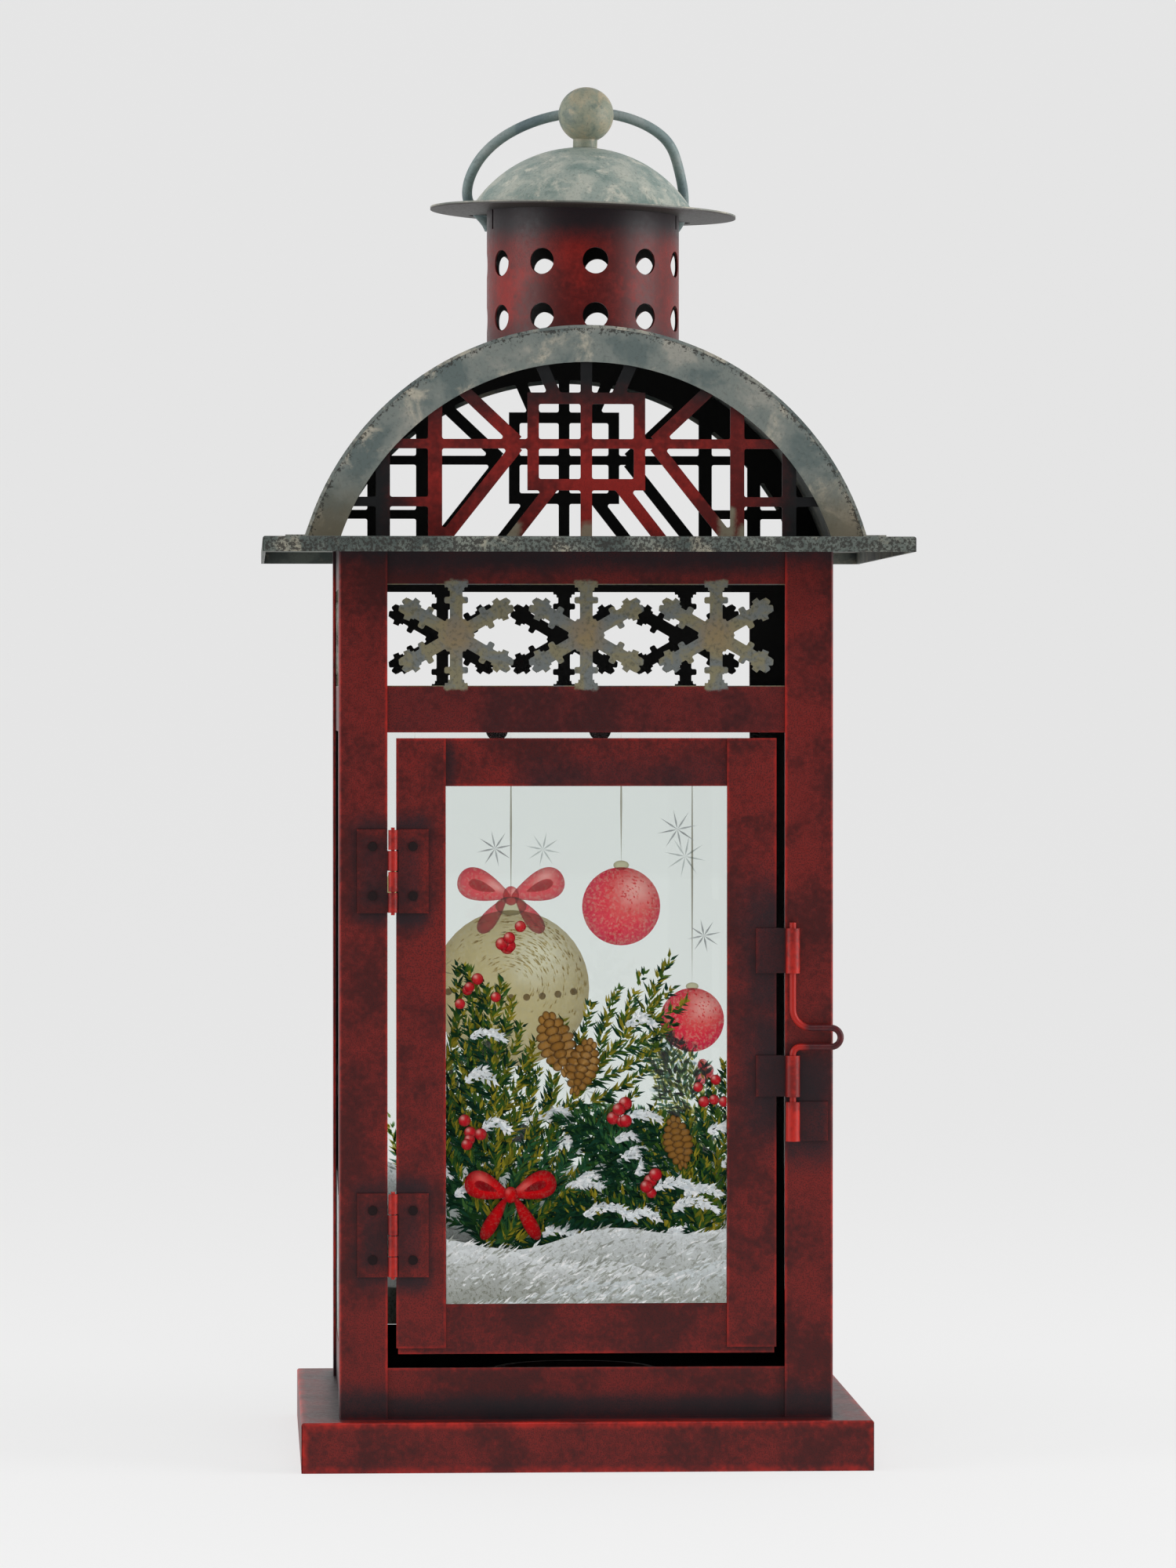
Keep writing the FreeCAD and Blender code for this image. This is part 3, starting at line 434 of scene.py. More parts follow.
    def disc(self, centre, across, up, code, edge, turn=0.0, shine=None, flare=0.0):
        """A round patch, scaled across and up and turned, that goes from code to edge. With a
        shine it is lighter at the upper left. It gets wider towards +u where flare is above 0."""
        sides = 40
        turns = np.linspace(0, 2 * np.pi, sides + 1)[:-1]
        rings = np.array([0.001, 0.35, 0.6, 0.8, 0.92, 1.0])[:, None]
        u, v = rings * np.cos(turns), rings * np.sin(turns)
        c, s = np.cos(turn), np.sin(turn)
        wide = v * up * (1 + flare * u)
        points = np.column_stack([(centre[0] + c * u * across - s * wide).ravel(),
                                  (centre[1] + s * u * across + c * wide).ravel()])
        share = np.repeat(rings ** 3, sides, axis=1).ravel()[:, None]
        paint = (1 - share) * np.array(srgb(code)) + share * np.array(srgb(edge))
        if shine:
            lit = 0.8 * np.exp(-((u + 0.35) ** 2 + (v - 0.4) ** 2) / 0.09).ravel()[:, None]
            paint = (1 - lit) * paint + lit * np.array(srgb(shine))
        paint[:, 3] = 0.15
        ring_starts = np.arange(len(rings) - 1)[:, None] * sides
        first = (ring_starts + np.arange(sides)).ravel()
        after = (ring_starts + (np.arange(sides) + 1) % sides).ravel()
        self.lay(points, np.column_stack([first, first + sides, after + sides, after]), paint)

    def berries(self, centre, count, spread):
        """A cluster of red berries, each with a shine."""
        for x, z in self.chance.normal(0, spread, (count, 2)):
            size = self.chance.uniform(1.3, 1.8)
            self.disc((centre[0] + x, centre[1] + z), size, size, "#C81A28", "#7E1018", shine="#F0B0A8")

    def cone(self, centre, turn, long):
        """A hanging cone: rows of scales, each row nearer the tip and smaller."""
        c, s = np.cos(turn), np.sin(turn)
        for t in np.linspace(0, 1, 8):
            wide = long * 0.26 * np.sin(np.pi * (0.16 + 0.74 * t))
            for k in (-1, 1, 0):
                x, z = k * wide * 0.75, long * (0.5 - t) - abs(k) * 0.7
                scale_at = centre[0] + c * x - s * z, centre[1] + s * x + c * z
                self.disc(scale_at, wide * 0.55, long * 0.085, "#96692F", "#38200F", turn=turn)

    def ribbon(self, centre, size, tail):
        """A bow: two tails that hang down, two loops that flare out from the knot, and a knot."""
        x, z = centre
        red, dark, shine = "#D40A12", "#8A0E16", "#F0706A"
        fold, light_fold, tip = "#7C0C14", "#A0141C", "#BE0A12"
        for side in (-1, 1):
            self.disc((x + side * size * 0.34, z - tail * 0.45), tail * 0.52, size * 0.14, tip, fold,
                      np.arctan2(-tail, side * size * 0.62), flare=0.5)
            self.disc((x + side * size * 0.5, z + size * 0.16), size * 0.52, size * 0.27, red, dark,
                      side * 0.35, shine, side * 0.55)
            self.disc((x + side * size * 0.54, z + size * 0.17), size * 0.26, size * 0.09, fold, light_fold,
                      side * 0.35, None, side * 0.5)
        self.disc((x, z), size * 0.15, size * 0.18, red, dark, 0.0, shine)

    def ice_star(self, centre, size, rays):
        """A fine star of thin grey strokes."""
        ways = 2 * np.pi * np.arange(rays) / rays + 0.2
        self.dabs(np.repeat([centre], rays, axis=0), ways, np.full(rays, float(size)),
                  np.full(rays, 0.5), ("#9AA0A0",))

    def bauble(self, x, z, size, code, edge, shine, band):
        """A glass ball on a thread, with a cap, dry brush strokes that follow its round, and a
        painted band of dots."""
        thread = self.high[1] - z - size
        self.dabs(np.array([[x, z + size]]), np.array([np.pi / 2]), np.array([thread * 1.4]),
                  np.array([0.6]), ("#6E6858",))
        self.disc((x, z + size * 1.05), size * 0.2, size * 0.12, "#A79A6C", "#6E6444")
        self.disc((x, z), size, size, code, edge, shine=shine)
        reach = np.sqrt(self.chance.uniform(0.05, 0.92, int(size * size * 0.9)))
        about = self.chance.normal(2.2, 0.75, len(reach))
        self.dabs(np.column_stack([x + size * reach * np.cos(about), z + size * reach * np.sin(about)]),
                  about - np.pi / 2, self.chance.uniform(0.04, 0.12, len(reach)) * size,
                  self.chance.uniform(0.2, 0.5, len(reach)), (code, shine, code))
        for k in np.linspace(-0.8, 0.8, 9):
            dot = x + k * size, z - size * 0.12 * (1 - k * k)
            self.disc(dot, size * 0.045, size * 0.045, band, band)

    def piece(self, name, body_name, enamel, outwards):
        """The finished print as a mesh. Outwards turns (across, up, rise) into places, where rise
        is how far the enamel stands off the glass."""
        points = outwards(np.concatenate(self.points))
        faces = [face.tolist() for shape in self.faces for face in shape]
        mesh = bpy.data.meshes.new(name)
        mesh.from_pydata(points / metre, [], faces)
        paint = mesh.color_attributes.new("paint", "FLOAT_COLOR", "POINT")
        colours = np.clip(np.concatenate(self.paint), 0, 1).astype(np.float32)
        paint.data.foreach_set("color", colours.ravel())
        made = bpy.data.objects.new(name, mesh)
        bpy.context.scene.collection.objects.link(made)
        mesh.materials.append(enamel)
        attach(made, body_name)


brush_marks, flecks = 0.5, 1.25  # spots per millimetre, for marks of 2 mm and flecks of 0.8 mm


def glass_enamel(name, through):
    """Glass enamel, brushed on in the print's colours with thin flecks where it is dry. Through
    is the share of light that it lets through, so that it glows when there is light behind it,
    and the thick snow at a print's foot lets through only a quarter."""
    finish, tree, place = new_finish(name)
    ink = add(tree, "Attribute", attribute_name="paint").node.outputs
    brush = add(tree, "TexNoise", place, Scale=brush_marks, Detail=5.0, Roughness=0.7)
    fleck = add(tree, "TexNoise", place, Scale=flecks, Detail=4.0, Roughness=0.75)
    tone = add(tree, "MapRange", brush, 0.3, 0.7, 0.88, 1.1)
    colour = add(tree, "VectorMath", ink[0], operation="SCALE", Scale=tone)
    flecked = add(tree, "MapRange", fleck, 0.50, 0.62, interpolation_type="SMOOTHSTEP")
    flecked = add(tree, "Math", flecked, ink[3], operation="MULTIPLY")
    colour = add(tree, "MixRGB", flecked, colour, srgb("#7E8070"))
    clear = add(tree, "MapRange", ink[3], 0.18, 0.45, through, 0.25)
    relief = add(tree, "Bump", Strength=0.3, Distance=0.04 / metre, Height=brush)
    shader = add(tree, "BsdfPrincipled", Base_Color=colour, Roughness=0.8, IOR=1.1,
                 Transmission_Weight=clear, Normal=relief)
    add(tree, "OutputMaterial", shader)
    return finish


deep = ("#0C2A1C", "#12331F", "#0A2217", "#1A3A1A", "#163B2A")
sunlit = ("#3F5A1C", "#6B6A1E", "#8F8426", "#2F5022")
cool = ("#1F4A30", "#2E5C34", "#3D6330", "#224A2C")

lap = 3.1  # what the frame hides of a pane, on all four sides
glass_gap, coat = 0.02, 0.15  # between glass and enamel, and the thickness of one unit of rise


def open_pane(low, high):
    """The corners of what shows of a pane, across and up in millimetres, to the tenth."""
    return [(round(float(low[0]) + lap, 1), round(float(low[2]) + lap, 1)),
            (round(float(high[0]) - lap, 1), round(float(high[2]) - lap, 1))]


door_pane_low, door_pane_high = corners("door_glass")
front_print = Print(*open_pane(door_pane_low, door_pane_high), 5)
front_print.ice_star((24, 168), 5.5, 8)
front_print.ice_star((-24, 163), 5.0, 8)
front_print.ice_star((31, 140), 4.5, 8)
left_bush = ((100, 0.3, 96, sunlit), (66, -0.4, 84, sunlit), (118, 0.4, 66, cool), (82, 0.3, 70, sunlit),
             (40, -0.5, 62, cool), (16, -0.4, 46, sunlit))
right_bush = ((86, -0.4, 54, sunlit), (122, 0.4, 50, cool), (150, 0.5, 40, sunlit), (102, 0.4, 40, sunlit))
for foot, needle, bush in (((-26, 58), 4.6, left_bush), ((31, 57), 4.4, right_bush)):
    for heading, curl, length, light in bush:
        front_print.bough(foot, np.radians(heading), curl, length, needle, deep, light)
for x, z, turn, long in ((-8, 112, 0.35, 15), (-1, 106, -0.3, 13), (24, 86, 0.2, 12)):
    front_print.cone((x, z), turn, long)
for x, z, count in ((-29, 126, 5), (-17, 139, 5), (9, 94, 5), (32, 98, 5), (-31, 88, 5), (15, 73, 4)):
    front_print.berries((x, z), count, 2.2)
front_print.ribbon((-20, 72), 12, 13)
far_snow, mid_snow, near_snow = ("#E2E7E8", "#ABAFA8"), ("#E9EDEE", "#A6AAA2"), ("#DFE6E8", "#ADB1A9")
front_print.drift(lambda a: 61 + 1.6 * np.sin(a / 7 + 1) + 2.2 * np.sin(a / 19), 42, *far_snow)
front_print.drift(lambda a: 54 - 0.12 * a + 1.2 * np.sin(a / 5), 42, *mid_snow)
front_print.drift(lambda a: 48 + 0.16 * a + 0.9 * np.sin(a / 6 + 2), 40, *near_snow)
door_from = door_pane_low[1] - glass_gap
front_print.piece("winter_print_door", "door", glass_enamel("glass_enamel_door", 0.25),
                  lambda p: np.column_stack([p[:, 0], door_from - p[:, 2] * coat, p[:, 1]]))

pane_low, pane_high = corners("pane_back")
rise_from = pane_high[1] + glass_gap
see_through = glass_enamel("glass_enamel_walls", 1.0)
walls = {"back": (12, lambda p: np.column_stack([-p[:, 0], rise_from + p[:, 2] * coat, p[:, 1]])),
         "right": (23, lambda p: np.column_stack([rise_from + p[:, 2] * coat, p[:, 0], p[:, 1]])),
         "left": (34, lambda p: np.column_stack([-rise_from - p[:, 2] * coat, -p[:, 0], p[:, 1]]))}
gold, scarlet = ("#9C8244", "#6E5A30", "#D8CCA0", "#5A4626"), ("#D80006", "#980008", "#EE7A70", "#F0E4C8")
brass = "#A88C3C", "#7A6632", "#E6DAB4", "#8A1018"
for name, (seed, outwards) in walls.items():
    wall = Print(*open_pane(pane_low, pane_high), seed)
    for x, z, size in ((-34, 158, 6), (6, 160, 5), (36, 126, 6), (-6, 92, 5)):
        wall.ice_star((x, z), size, 8)
    for x, z, size, colours in ((15, 121, 22, gold), (-16, 144, 11, scarlet), (-36, 112, 9, scarlet),
                                (42, 150, 8, brass)):
        wall.bauble(x, z, size, *colours)
    wall.ribbon((15, 147), 15, 12)
    for heading, curl, length, x, light in ((78, -0.4, 50, -44, sunlit), (44, -0.4, 42, -46, cool),
                                            (104, 0.4, 50, 42, sunlit), (138, 0.4, 40, 46, cool)):
        wall.bough((x, 62), np.radians(heading), curl, length, 4.6, deep, light)
    wall.berries((-40, 98), 5, 2.2)
    wall.berries((40, 94), 5, 2.2)
    wall.drift(lambda a: 70 + 2.5 * np.sin(a / 9 + 1) + 2.0 * np.sin(a / 23), 25, *far_snow)
    wall.drift(lambda a: 54 + 0.10 * a + 1.6 * np.sin(a / 6), 25, *mid_snow)
    wall.drift(lambda a: 40 - 0.08 * a + 1.2 * np.sin(a / 8 + 2), 25, *near_snow)
    wall.piece("winter_print_" + name, "lantern", see_through, outwards)

# Pane clips. Tabs of thin tin, soldered to the rails and folded over the glass. They are
# painted dull and nearly black.
black_tin, tree, place = new_finish("near_black_tin")
smears = 0.8  # spots per millimetre, for smears a little over 1 mm wide
mottle = add(tree, "TexNoise", place, Scale=smears, Detail=4.0, Roughness=0.6)
shade = add(tree, "MapRange", mottle, 0.4, 0.65)
colour = add(tree, "MixRGB", shade, srgb("#1B1718"), srgb("#3A1E20"))
shader = add(tree, "BsdfPrincipled", Base_Color=colour, Roughness=0.5)
add(tree, "OutputMaterial", shader)
put_on("pane_clips", black_tin)
put_on("door_glass_clips", black_tin)


# Roof tray. A shallow pan sponged in grey-green and cream to look like old pewter. The paint is
# chipped to dark specks, closest together along its rim.
grit = 1.5  # the paint's specks, in spots per millimetre, each 0.7 mm wide


def pewter_paint(name, dark, mid, pale, cream, rim=None, cream_from=0.52, cloud=0.075, brown=None):
    """Sponged pewter paint. A slow noise, of cloud spots per millimetre, moves between the greys, in
    patches 6 to 15 mm wide as a sponge leaves them, and another lays the cream where it is above
    cream_from. Rim gives a mask that is 1 at the edges where the paint is chipped most. Brown
    gives a mask, with its colour, laid over the rest: the brown coat showing at the arch feet,
    and painted shade under the brim."""
    finish, tree, place = new_finish(name)
    slow = add(tree, "TexNoise", place, Scale=cloud, Detail=4.0, Roughness=0.6, Distortion=0.3)
    dabs = add(tree, "TexNoise", place, Scale=cloud * 1.3, Detail=6.0, Roughness=0.65, Distortion=0.5)
    fine = add(tree, "TexNoise", place, Scale=grit, Detail=4.0, Roughness=0.7)
    low_share = add(tree, "MapRange", slow, 0.38, 0.50, interpolation_type="SMOOTHSTEP")
    high_share = add(tree, "MapRange", slow, 0.50, 0.64, interpolation_type="SMOOTHSTEP")
    colour = add(tree, "MixRGB", low_share, srgb(dark), srgb(mid))
    colour = add(tree, "MixRGB", high_share, colour, srgb(pale))
    creamy = add(tree, "MapRange", dabs, cream_from, cream_from + 0.16, 0.0, 0.75,
                 interpolation_type="SMOOTHSTEP")
    colour = add(tree, "MixRGB", creamy, colour, srgb(cream))
    dirt = add(tree, "MapRange", fine, 0.50, 0.74, 0.0, 0.5, interpolation_type="SMOOTHSTEP")
    colour = add(tree, "MixRGB", dirt, colour, srgb("#3E433F"))
    if brown:
        mask, code = brown
        colour = add(tree, "MixRGB", mask(tree, place), colour, srgb(code))
    if rim:
        level = add(tree, "MapRange", rim(tree, place), 0.0, 1.0, 0.74, 0.47)
        chips = add(tree, "Math", fine, level, operation="SUBTRACT")
        chips = add(tree, "MapRange", chips, 0.0, 0.06, 0.0, 0.85, interpolation_type="SMOOTHSTEP")
        colour = add(tree, "MixRGB", chips, colour, srgb("#24201C"))
    rough = add(tree, "MapRange", fine, 0.3, 0.7, 0.40, 0.60)
    skin = add(tree, "MixRGB", 0.5, fine, dabs)
    relief = add(tree, "Bump", Strength=0.5, Distance=0.08 / metre, Height=skin)
    shader = add(tree, "BsdfPrincipled", Base_Color=colour, Roughness=rough, Normal=relief)
    add(tree, "OutputMaterial", shader)
    return finish


roof_low, roof_high = corners("roof_tray")
tray_rim, tray_lip = 1.2, 0.6  # how far the chips reach in from the sides and up from below


def tray_edges(tree, place):
    """1 at the tray's four sides and its lower lip, and 0 a little further in."""
    middle = near(tree, place, [roof_low[0] + tray_rim, roof_low[1] + tray_rim, roof_low[2] + tray_lip],
                  [roof_high[0] - tray_rim, roof_high[1] - tray_rim, roof_high[2] + 9], tray_rim)
    return add(tree, "Math", 1.0, middle, operation="SUBTRACT")


put_on("roof_tray", pewter_paint("pewter_paint_tray", "#46504C", "#5F6761", "#7A7F76", "#A9A28F",
                                 rim=tray_edges))

# Barrel roof. One sheet, curved over the tray and fixed down along both sides. It is painted as the
# tray is, and chipped at both open ends.
vault_low, vault_high = corners("vault")
vault_rim, vault_fade = 1.5, 2.5


def vault_ends(tree, place):
    """1 at the two open ends of the barrel roof, and 0 a few millimetres further in."""
    middle = near(tree, place, [vault_low[0], vault_low[1] + vault_rim, vault_low[2]],
                  [vault_high[0], vault_high[1] - vault_rim, vault_high[2]], vault_fade)
    return add(tree, "Math", 1.0, middle, operation="SUBTRACT")


put_on("vault", pewter_paint("pewter_paint_vault", "#5A6462", "#727975", "#8E8F86", "#BDB5A3",
                             rim=vault_ends))

# Arch fascias. Flat rings of sheet, set into both ends of the barrel roof. They have its paint,
# chipped along the outer edge and thin at the feet, where the brown coat below shows.
arch_low, arch_high = corners("arch_fascia_front")
arch_half, arch_rise = arch_high[0], arch_high[2] - arch_low[2]
arch_r = (arch_half ** 2 + arch_rise ** 2) / (2 * arch_rise)
arch_z = arch_high[2] - arch_r
chips_from, chips_to = 3.2, 0.2  # in from the arch's outer edge


def outer_rim(tree, place):
    """1 at the arch's outer edge and 0 a few millimetres inside it, from the distance to the
    arch's axis."""
    spoke = add(tree, "VectorMath", place, (0, 0, arch_z), operation="SUBTRACT")
    spoke = add(tree, "VectorMath", spoke, (1, 0, 1), operation="MULTIPLY")
    reach = add(tree, "VectorMath", spoke, operation="LENGTH", out=1)
    return add(tree, "MapRange", reach, arch_r - chips_from, arch_r - chips_to)


def arch_feet(tree, place):
    """Three quarters at both feet of an arch, falling unevenly to 0 about 20 mm above them."""
    feet = near(tree, place, [-far, -far, arch_low[2] - 5], [far, far, arch_low[2] + 1], 18.0, 4.0)
    return add(tree, "Math", feet, 0.75, operation="MULTIPLY")


for name in ("front", "back"):
    put_on("arch_fascia_" + name, pewter_paint(
        "pewter_paint_fascia_" + name, "#5A6664", "#747B76", "#94938A", "#C0B7A4", rim=outer_rim,
        cloud=0.065, brown=(arch_feet, "#6A5F48")))

# Arched fretwork. Cut from one sheet and sprayed red. Painted shade turns it black under the crown
# and painted light brightens its middle, with dabs of grey from the roof's sponge at the feet of some bars.
lit_half, lit_top = 40, 27  # half the width, and the top, of the red part, painted as lit
dabbed_feet = (-19.5, 3), (0.5, 3), (36.9, 7), (42.0, 2)  # across, and how far up
for name, way in (("front", -1), ("back", 1)):
    low, high = corners("fretwork_" + name)

    def lit_and_shaded_coat(tree, place, red):
        """Red in the middle of the arch as painted light, black around it as painted shade, black on the
        inner side, and grey dabs.
        """
        middle = near(tree, place, [-lit_half, -far, low[2] + 3],
                      [lit_half, far, low[2] + lit_top], 15.0, 4.0)
        colour = add(tree, "MixRGB", middle, srgb("#101113"), red)
        dabs = [near(tree, place, [x - 1, -far, low[2] - 1], [x + 1, far, low[2] + up], 2.0, 1.6)
                for x, up in dabbed_feet]
        dabs = add(tree, "Math", most(tree, dabs), 0.8, operation="MULTIPLY")
        colour = add(tree, "MixRGB", dabs, colour, srgb("#85836F"))
        depth = add(tree, "VectorMath", place, (0, way, 0), operation="DOT_PRODUCT", out=1)
        outer = add(tree, "MapRange", depth, body - wall_depth - seam, body - wall_depth + seam)
        return add(tree, "MixRGB", outer, srgb("#0D0C0C"), colour)

    # A patch of painted light, brighter red, across the middle of the arch.
    brightest = ([-48, -far, low[2] + 6], [30, far, low[2] + 26], 12.0, 0.30)
    put_on("fretwork_" + name, red_enamel("red_enamel_fretwork_" + name, low, high, worn_and_lit_edge=0,
                                          bright=0.08, glow=[brightest], over=lit_and_shaded_coat))

# Punched collar. A rolled tube on the roof, with painted glints of brighter red between its holes,
# painted shade in black under the cap, and darker where it meets the roof.
collar_low, collar_high = corners("collar")
flue_x = (collar_low[0] + collar_high[0]) / 2
collar_r = (collar_high[0] - collar_low[0]) / 2
collar_skin = 0.4  # how deep the red reaches from the collar's outside
painted_glints = (-17, 12, 0.45), (-2, 20, 0.30), (13, 17, 0.35)  # painted glints: across, up and how strongly


def shaded_collar_coat(tree, place, red):
    """Painted shade in black under the cap and a darker foot over the red, and black inside the tube, where
    the distance to its axis is less than its radius."""
    # Painted shade in black under the cap.
    cap_shade = near(tree, place, [-far, -far, collar_high[2] - 4], [far, far, collar_high[2] + 5], 8.0, 1.5)
    cap_shade = add(tree, "Math", cap_shade, 0.95, operation="MULTIPLY")
    colour = add(tree, "MixRGB", cap_shade, red, srgb("#1C1B20"))
    foot = near(tree, place, [-far, -far, collar_low[2] - 5], [far, far, collar_low[2] + 4], 7.0, 2.0)
    foot = add(tree, "Math", foot, 0.6, operation="MULTIPLY")
    colour = add(tree, "MixRGB", foot, colour, srgb("#241B1D"))
    spoke = add(tree, "VectorMath", place, (flue_x, 0, 0), operation="SUBTRACT")
    spoke = add(tree, "VectorMath", spoke, (1, 1, 0), operation="MULTIPLY")
    reach = add(tree, "VectorMath", spoke, operation="LENGTH", out=1)
    outer = add(tree, "MapRange", reach, collar_r - collar_skin - seam, collar_r - collar_skin + seam)
    return add(tree, "MixRGB", outer, srgb("#0D0C0C"), colour)


# The glow boxes are painted glints of brighter red between the holes.
put_on("collar", red_enamel(
    "red_enamel_collar", collar_low, collar_high, worn_and_lit_edge=0, bright=0.10, over=shaded_collar_coat,
    glow=[([x - 1, -far, collar_low[2] + up], [x + 1, far, collar_low[2] + up + 8], 7.0, strength)
          for x, up, strength in painted_glints]))

# Cap. A round brim that leans a little, a pressed dome and a bail of bent wire, all painted a
# lighter pewter. The brim's underside is painted dark brown as painted shade.
brim_low, brim_high = corners("brim")
cap_lean = np.radians(1.8)
cap_middle = [(a + b) / 2 for a, b in zip(brim_low, brim_high)]


def brim_under(tree, place):
    """1 on the lower side of the leaning brim, from the height above its middle plane."""
    up = add(tree, "VectorMath", place, cap_middle, operation="SUBTRACT")
    cap_axis = np.sin(cap_lean), 0, np.cos(cap_lean)
    up = add(tree, "VectorMath", up, cap_axis, operation="DOT_PRODUCT", out=1)
    return add(tree, "MapRange", up, -seam, seam, 1.0, 0.0)


# Painted shade: the brim's underside is dark brown.
put_on("brim", pewter_paint("pewter_paint_brim", "#656B65", "#82857D", "#9C988A", "#BBB4A2",
                            brown=(brim_under, "#2B2622")))
put_on("dome", pewter_paint("pewter_paint_dome", "#7C8F88", "#95A199", "#B0B5AA", "#D2CFC0",
                            cloud=0.13))
put_on("bail", pewter_paint("pewter_paint_bail", "#627478", "#788988", "#8E9896", "#9E9F95",
                            cream_from=0.6))

# Ball. Two pressed halves, soldered together on a short neck. Its paint has more cream in it, like
# a rusty bloom.
put_on("ball", pewter_paint("pewter_paint_ball", "#677368", "#878C7A", "#99957E", "#B0A184", cloud=0.16,
                            cream_from=0.48))

# Door frame. Uprights in front and cross strips behind, spot soldered, with painted shade in black
# round the hinges and the latch.
guide_boxes = [corners("latch_guide_upper"), corners("latch_guide_lower")]
for name in ("stile_left", "stile_right", "rail_top", "rail_bottom"):
    low, high = corners("door_" + name)
    soot_and_shade = []
    # Painted shade round the hinges on the left stile and round the latch guides on the right one.
    if name == "stile_left":
        soot_and_shade = [([a[0], a[1], a[2] - 1], [b[0] - 2.5, b[1], b[2] + 1], 6.0, 0.85)
                for a, b in hinge_box.values()]
    if name == "stile_right":
        soot_and_shade = [([a[0] + 4, a[1], a[2] - 5], [b[0], b[1], b[2] + 5], 15.0, 0.85)
                for a, b in guide_boxes]
    if name == "rail_top":
        # A smudge at the left end, and the wipe along the lower edge.
        soot_and_shade = [([-37.5, low[1], low[2] - 1], [-36, high[1], high[2] - 2], 3.0, 0.6),
                ([-12, low[1], low[2] - 3], [36, high[1], low[2] + 2], 11.0, 0.5)]
    put_on("door_" + name, red_enamel("red_enamel_door_" + name, low, high, soot_and_shade=soot_and_shade,
                                      inside=("front", -(low[1] + high[1]) / 2)))

# Hinges. Rolled from thin strip. The knuckles stand proud and were rubbed bright red, and the
# leaves are dark, with black round the flattened rivets.
pin_low, pin_high = corners("hinge_pins")
pin_x = (pin_low[0] + pin_high[0]) / 2
knuckle_half, leaf_soot = 0.9, 0.5  # half a bright knuckle, and the depth of the black on a leaf
for part in ("post_leaf_lower", "post_leaf_upper", "door_leaf_lower", "door_leaf_upper"):
    low, high = corners("hinge_" + part)
    beside = (low[0] + 2.2, high[0] - 3.4)
    if part.startswith("door"):
        beside = (low[0] + 2.8, high[0] - 4.2)
    put_on("hinge_" + part, red_enamel(
        "red_enamel_hinge_" + part, low, high, worn_and_lit_edge=0.6, ragged=0.4, wear_and_sheen=0.35,
        glow=[([pin_x - knuckle_half, low[1], low[2]],
               [pin_x + knuckle_half, high[1] - knuckle_half, high[2]], 0.7, 1.0)],
        soot_and_shade=[([beside[0] + 1, high[1] - leaf_soot, low[2] + 4],
               [beside[1], high[1] + 1, high[2] - 4], 4.0, 0.55)]))
put_on("hinge_pins", red_enamel("red_enamel_pins", pin_low, pin_high, bright=0.9))
rivet_black, tree, place = new_finish("rivet_heads_black")
mottle = add(tree, "TexNoise", place, Scale=grit, Detail=3.0)
colour = add(tree, "MixRGB", mottle, srgb("#150E0F"), srgb("#241214"))
shader = add(tree, "BsdfPrincipled", Base_Color=colour, Roughness=0.75, Specular_IOR_Level=0.2)
add(tree, "OutputMaterial", shader)
put_on("rivets_post_leaves", rivet_black)
put_on("rivets_door_leaves", rivet_black)

# Latch. Two guides and a keeper rolled from strip, and a bolt bent from wire. The rolls were left
# bright red. The bolt is worn dark where a finger lifts it.
# A roll's radius, half of its bright part, where that ends, and the depth of the black on a leaf.
roll_r, roll_half, roll_back, leaf_soot = 1.85, 1.7, 0.62, 0.6
for part in ("latch_guide_upper", "latch_guide_lower", "latch_keeper"):
    low, high = corners(part)
    roll_x, leaf_from, leaf_to = high[0] - roll_r, low[0] + 1.5, high[0] - roll_r - 2.5
    if part == "latch_keeper":
        roll_x, leaf_from, leaf_to = low[0] + roll_r, low[0] + roll_r + 2.5, high[0] - 1.5
    roll = ([roll_x - roll_half, low[1], low[2]],
            [roll_x + roll_half, high[1] - roll_back, high[2]], 0.5, 1.0)
    leaf = ([leaf_from, high[1] - leaf_soot, low[2]], [leaf_to, high[1], high[2]], 2.5, 0.75)
    put_on(part, red_enamel("red_enamel_" + part, low, high, worn_and_lit_edge=0.5, glow=[roll], soot_and_shade=[leaf]))
loop_from = bolt_low[0] + 5.5  # where the finger loop starts
put_on("latch_bolt", red_enamel("red_enamel_bolt", bolt_low, bolt_high, bright=0.8, worn_and_lit_edge=0.3,
                                soot_and_shade=[([loop_from, *bolt_low[1:]], bolt_high, 3.0, 0.9)]))

# Studio. A white paper sweep, lit from below and dimmer in front of the lantern, pale light all
# round but for a dim room behind the camera, and soft boxes above and at both sides.
rows = 60
across, along = np.meshgrid([-30.0, 30.0], np.linspace(0, 1, rows))
floor_share, wall_share = 0.35, 0.65  # the floor ends and the wall starts at these shares of the paper
turn = np.clip((along - floor_share) / (wall_share - floor_share), 0, 1) * np.pi / 2
depth = np.where(along < floor_share, -6 + along / floor_share * 8, 2 + np.sin(turn))
height = np.where(along > wall_share, 1 + (along - wall_share) * 12, 1 - np.cos(turn))
first = np.arange(rows - 1) * 2
sweep_mesh = bpy.data.meshes.new("paper_sweep")
sweep_mesh.from_pydata(np.column_stack([across.ravel(), depth.ravel(), height.ravel()]), [],
                       np.column_stack([first, first + 1, first + 3, first + 2]).tolist())
sweep_mesh.polygons.foreach_set("use_smooth", [True] * (rows - 1))
sweep = bpy.data.objects.new("paper_sweep", sweep_mesh)
bpy.context.scene.collection.objects.link(sweep)
paper, tree, place = new_finish("white_paper")
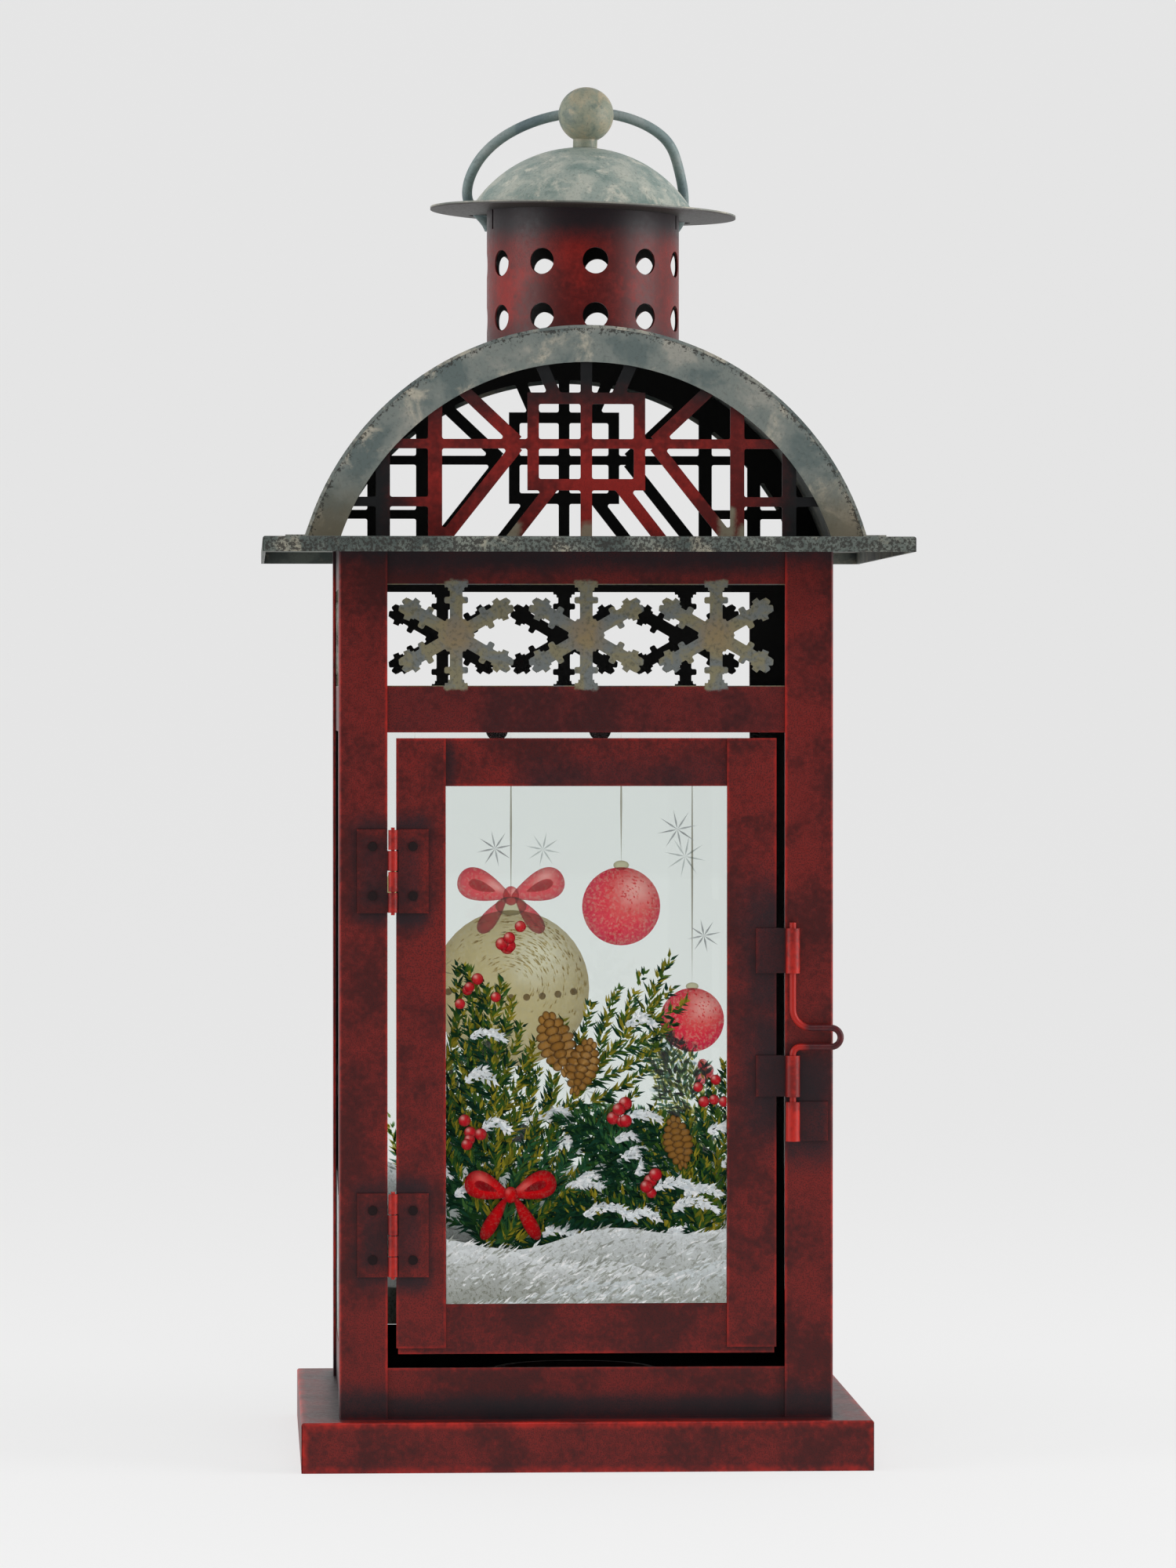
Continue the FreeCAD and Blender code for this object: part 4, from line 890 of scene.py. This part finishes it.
depth_in = add(tree, "SeparateXYZ", place).node.outputs[1]
glow = add(tree, "MapRange", depth_in, -1900.0, -500.0, 0.22, 0.79, interpolation_type="SMOOTHSTEP")
shader = add(tree, "BsdfPrincipled", Base_Color=srgb("#8A8A8A"), Roughness=1.0, Specular_IOR_Level=0.0,
             Emission_Color=srgb("#EBEBEB"), Emission_Strength=glow)
add(tree, "OutputMaterial", shader)
sweep_mesh.materials.append(paper)
sweep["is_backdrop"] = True

world = bpy.data.worlds.new("pale_room")
bpy.context.scene.world = world
world.use_nodes = True
tree = world.node_tree
forward = add(tree, "VectorMath", add(tree, "TexCoord"), (0, -1, 0), operation="DOT_PRODUCT", out=1)
dim = add(tree, "MapRange", forward, 0.70, 0.96, 0.36, 0.12, interpolation_type="SMOOTHSTEP")
tree.links.new(dim, tree.nodes["Background"].inputs[1])
tree.nodes["Background"].inputs[0].default_value = srgb("#FFFFFF")
for name, place, turn, size, power in (("left_box", (-1.1, -0.35, 0.45), (0, -78, 17), 0.8, 6.2),
                                       ("right_box", (1.1, -0.35, 0.45), (0, 78, -17), 0.8, 8.8),
                                       ("top_box", (0.0, -0.8, 1.25), (37, 0, 0), 0.8, 3.4)):
    lamp = bpy.data.lights.new(name, "AREA")
    lamp.shape, lamp.size, lamp.energy = "SQUARE", size, power
    made = bpy.data.objects.new(name, lamp)
    made.location = place
    made.rotation_euler = [float(np.radians(angle)) for angle in turn]
    bpy.context.scene.collection.objects.link(made)

# Camera. It stands 1.9 m in front of the lantern, a little to the left and just above the middle of
# its height, and looks slightly down and to the right.
eye = -0.0897, -1.890, 0.2026
down, right = 0.710, 2.826  # degrees
lens = bpy.data.cameras.new("camera")
lens.lens = 159.7
lens.clip_start = 0.05
camera = bpy.data.objects.new("camera", lens)
camera.location = eye
camera.rotation_euler = (float(np.radians(90 - down)), 0.0, float(np.radians(-right)))
bpy.context.scene.collection.objects.link(camera)
bpy.context.scene.camera = camera
bpy.context.scene.view_settings.view_transform = "Standard"

low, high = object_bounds()
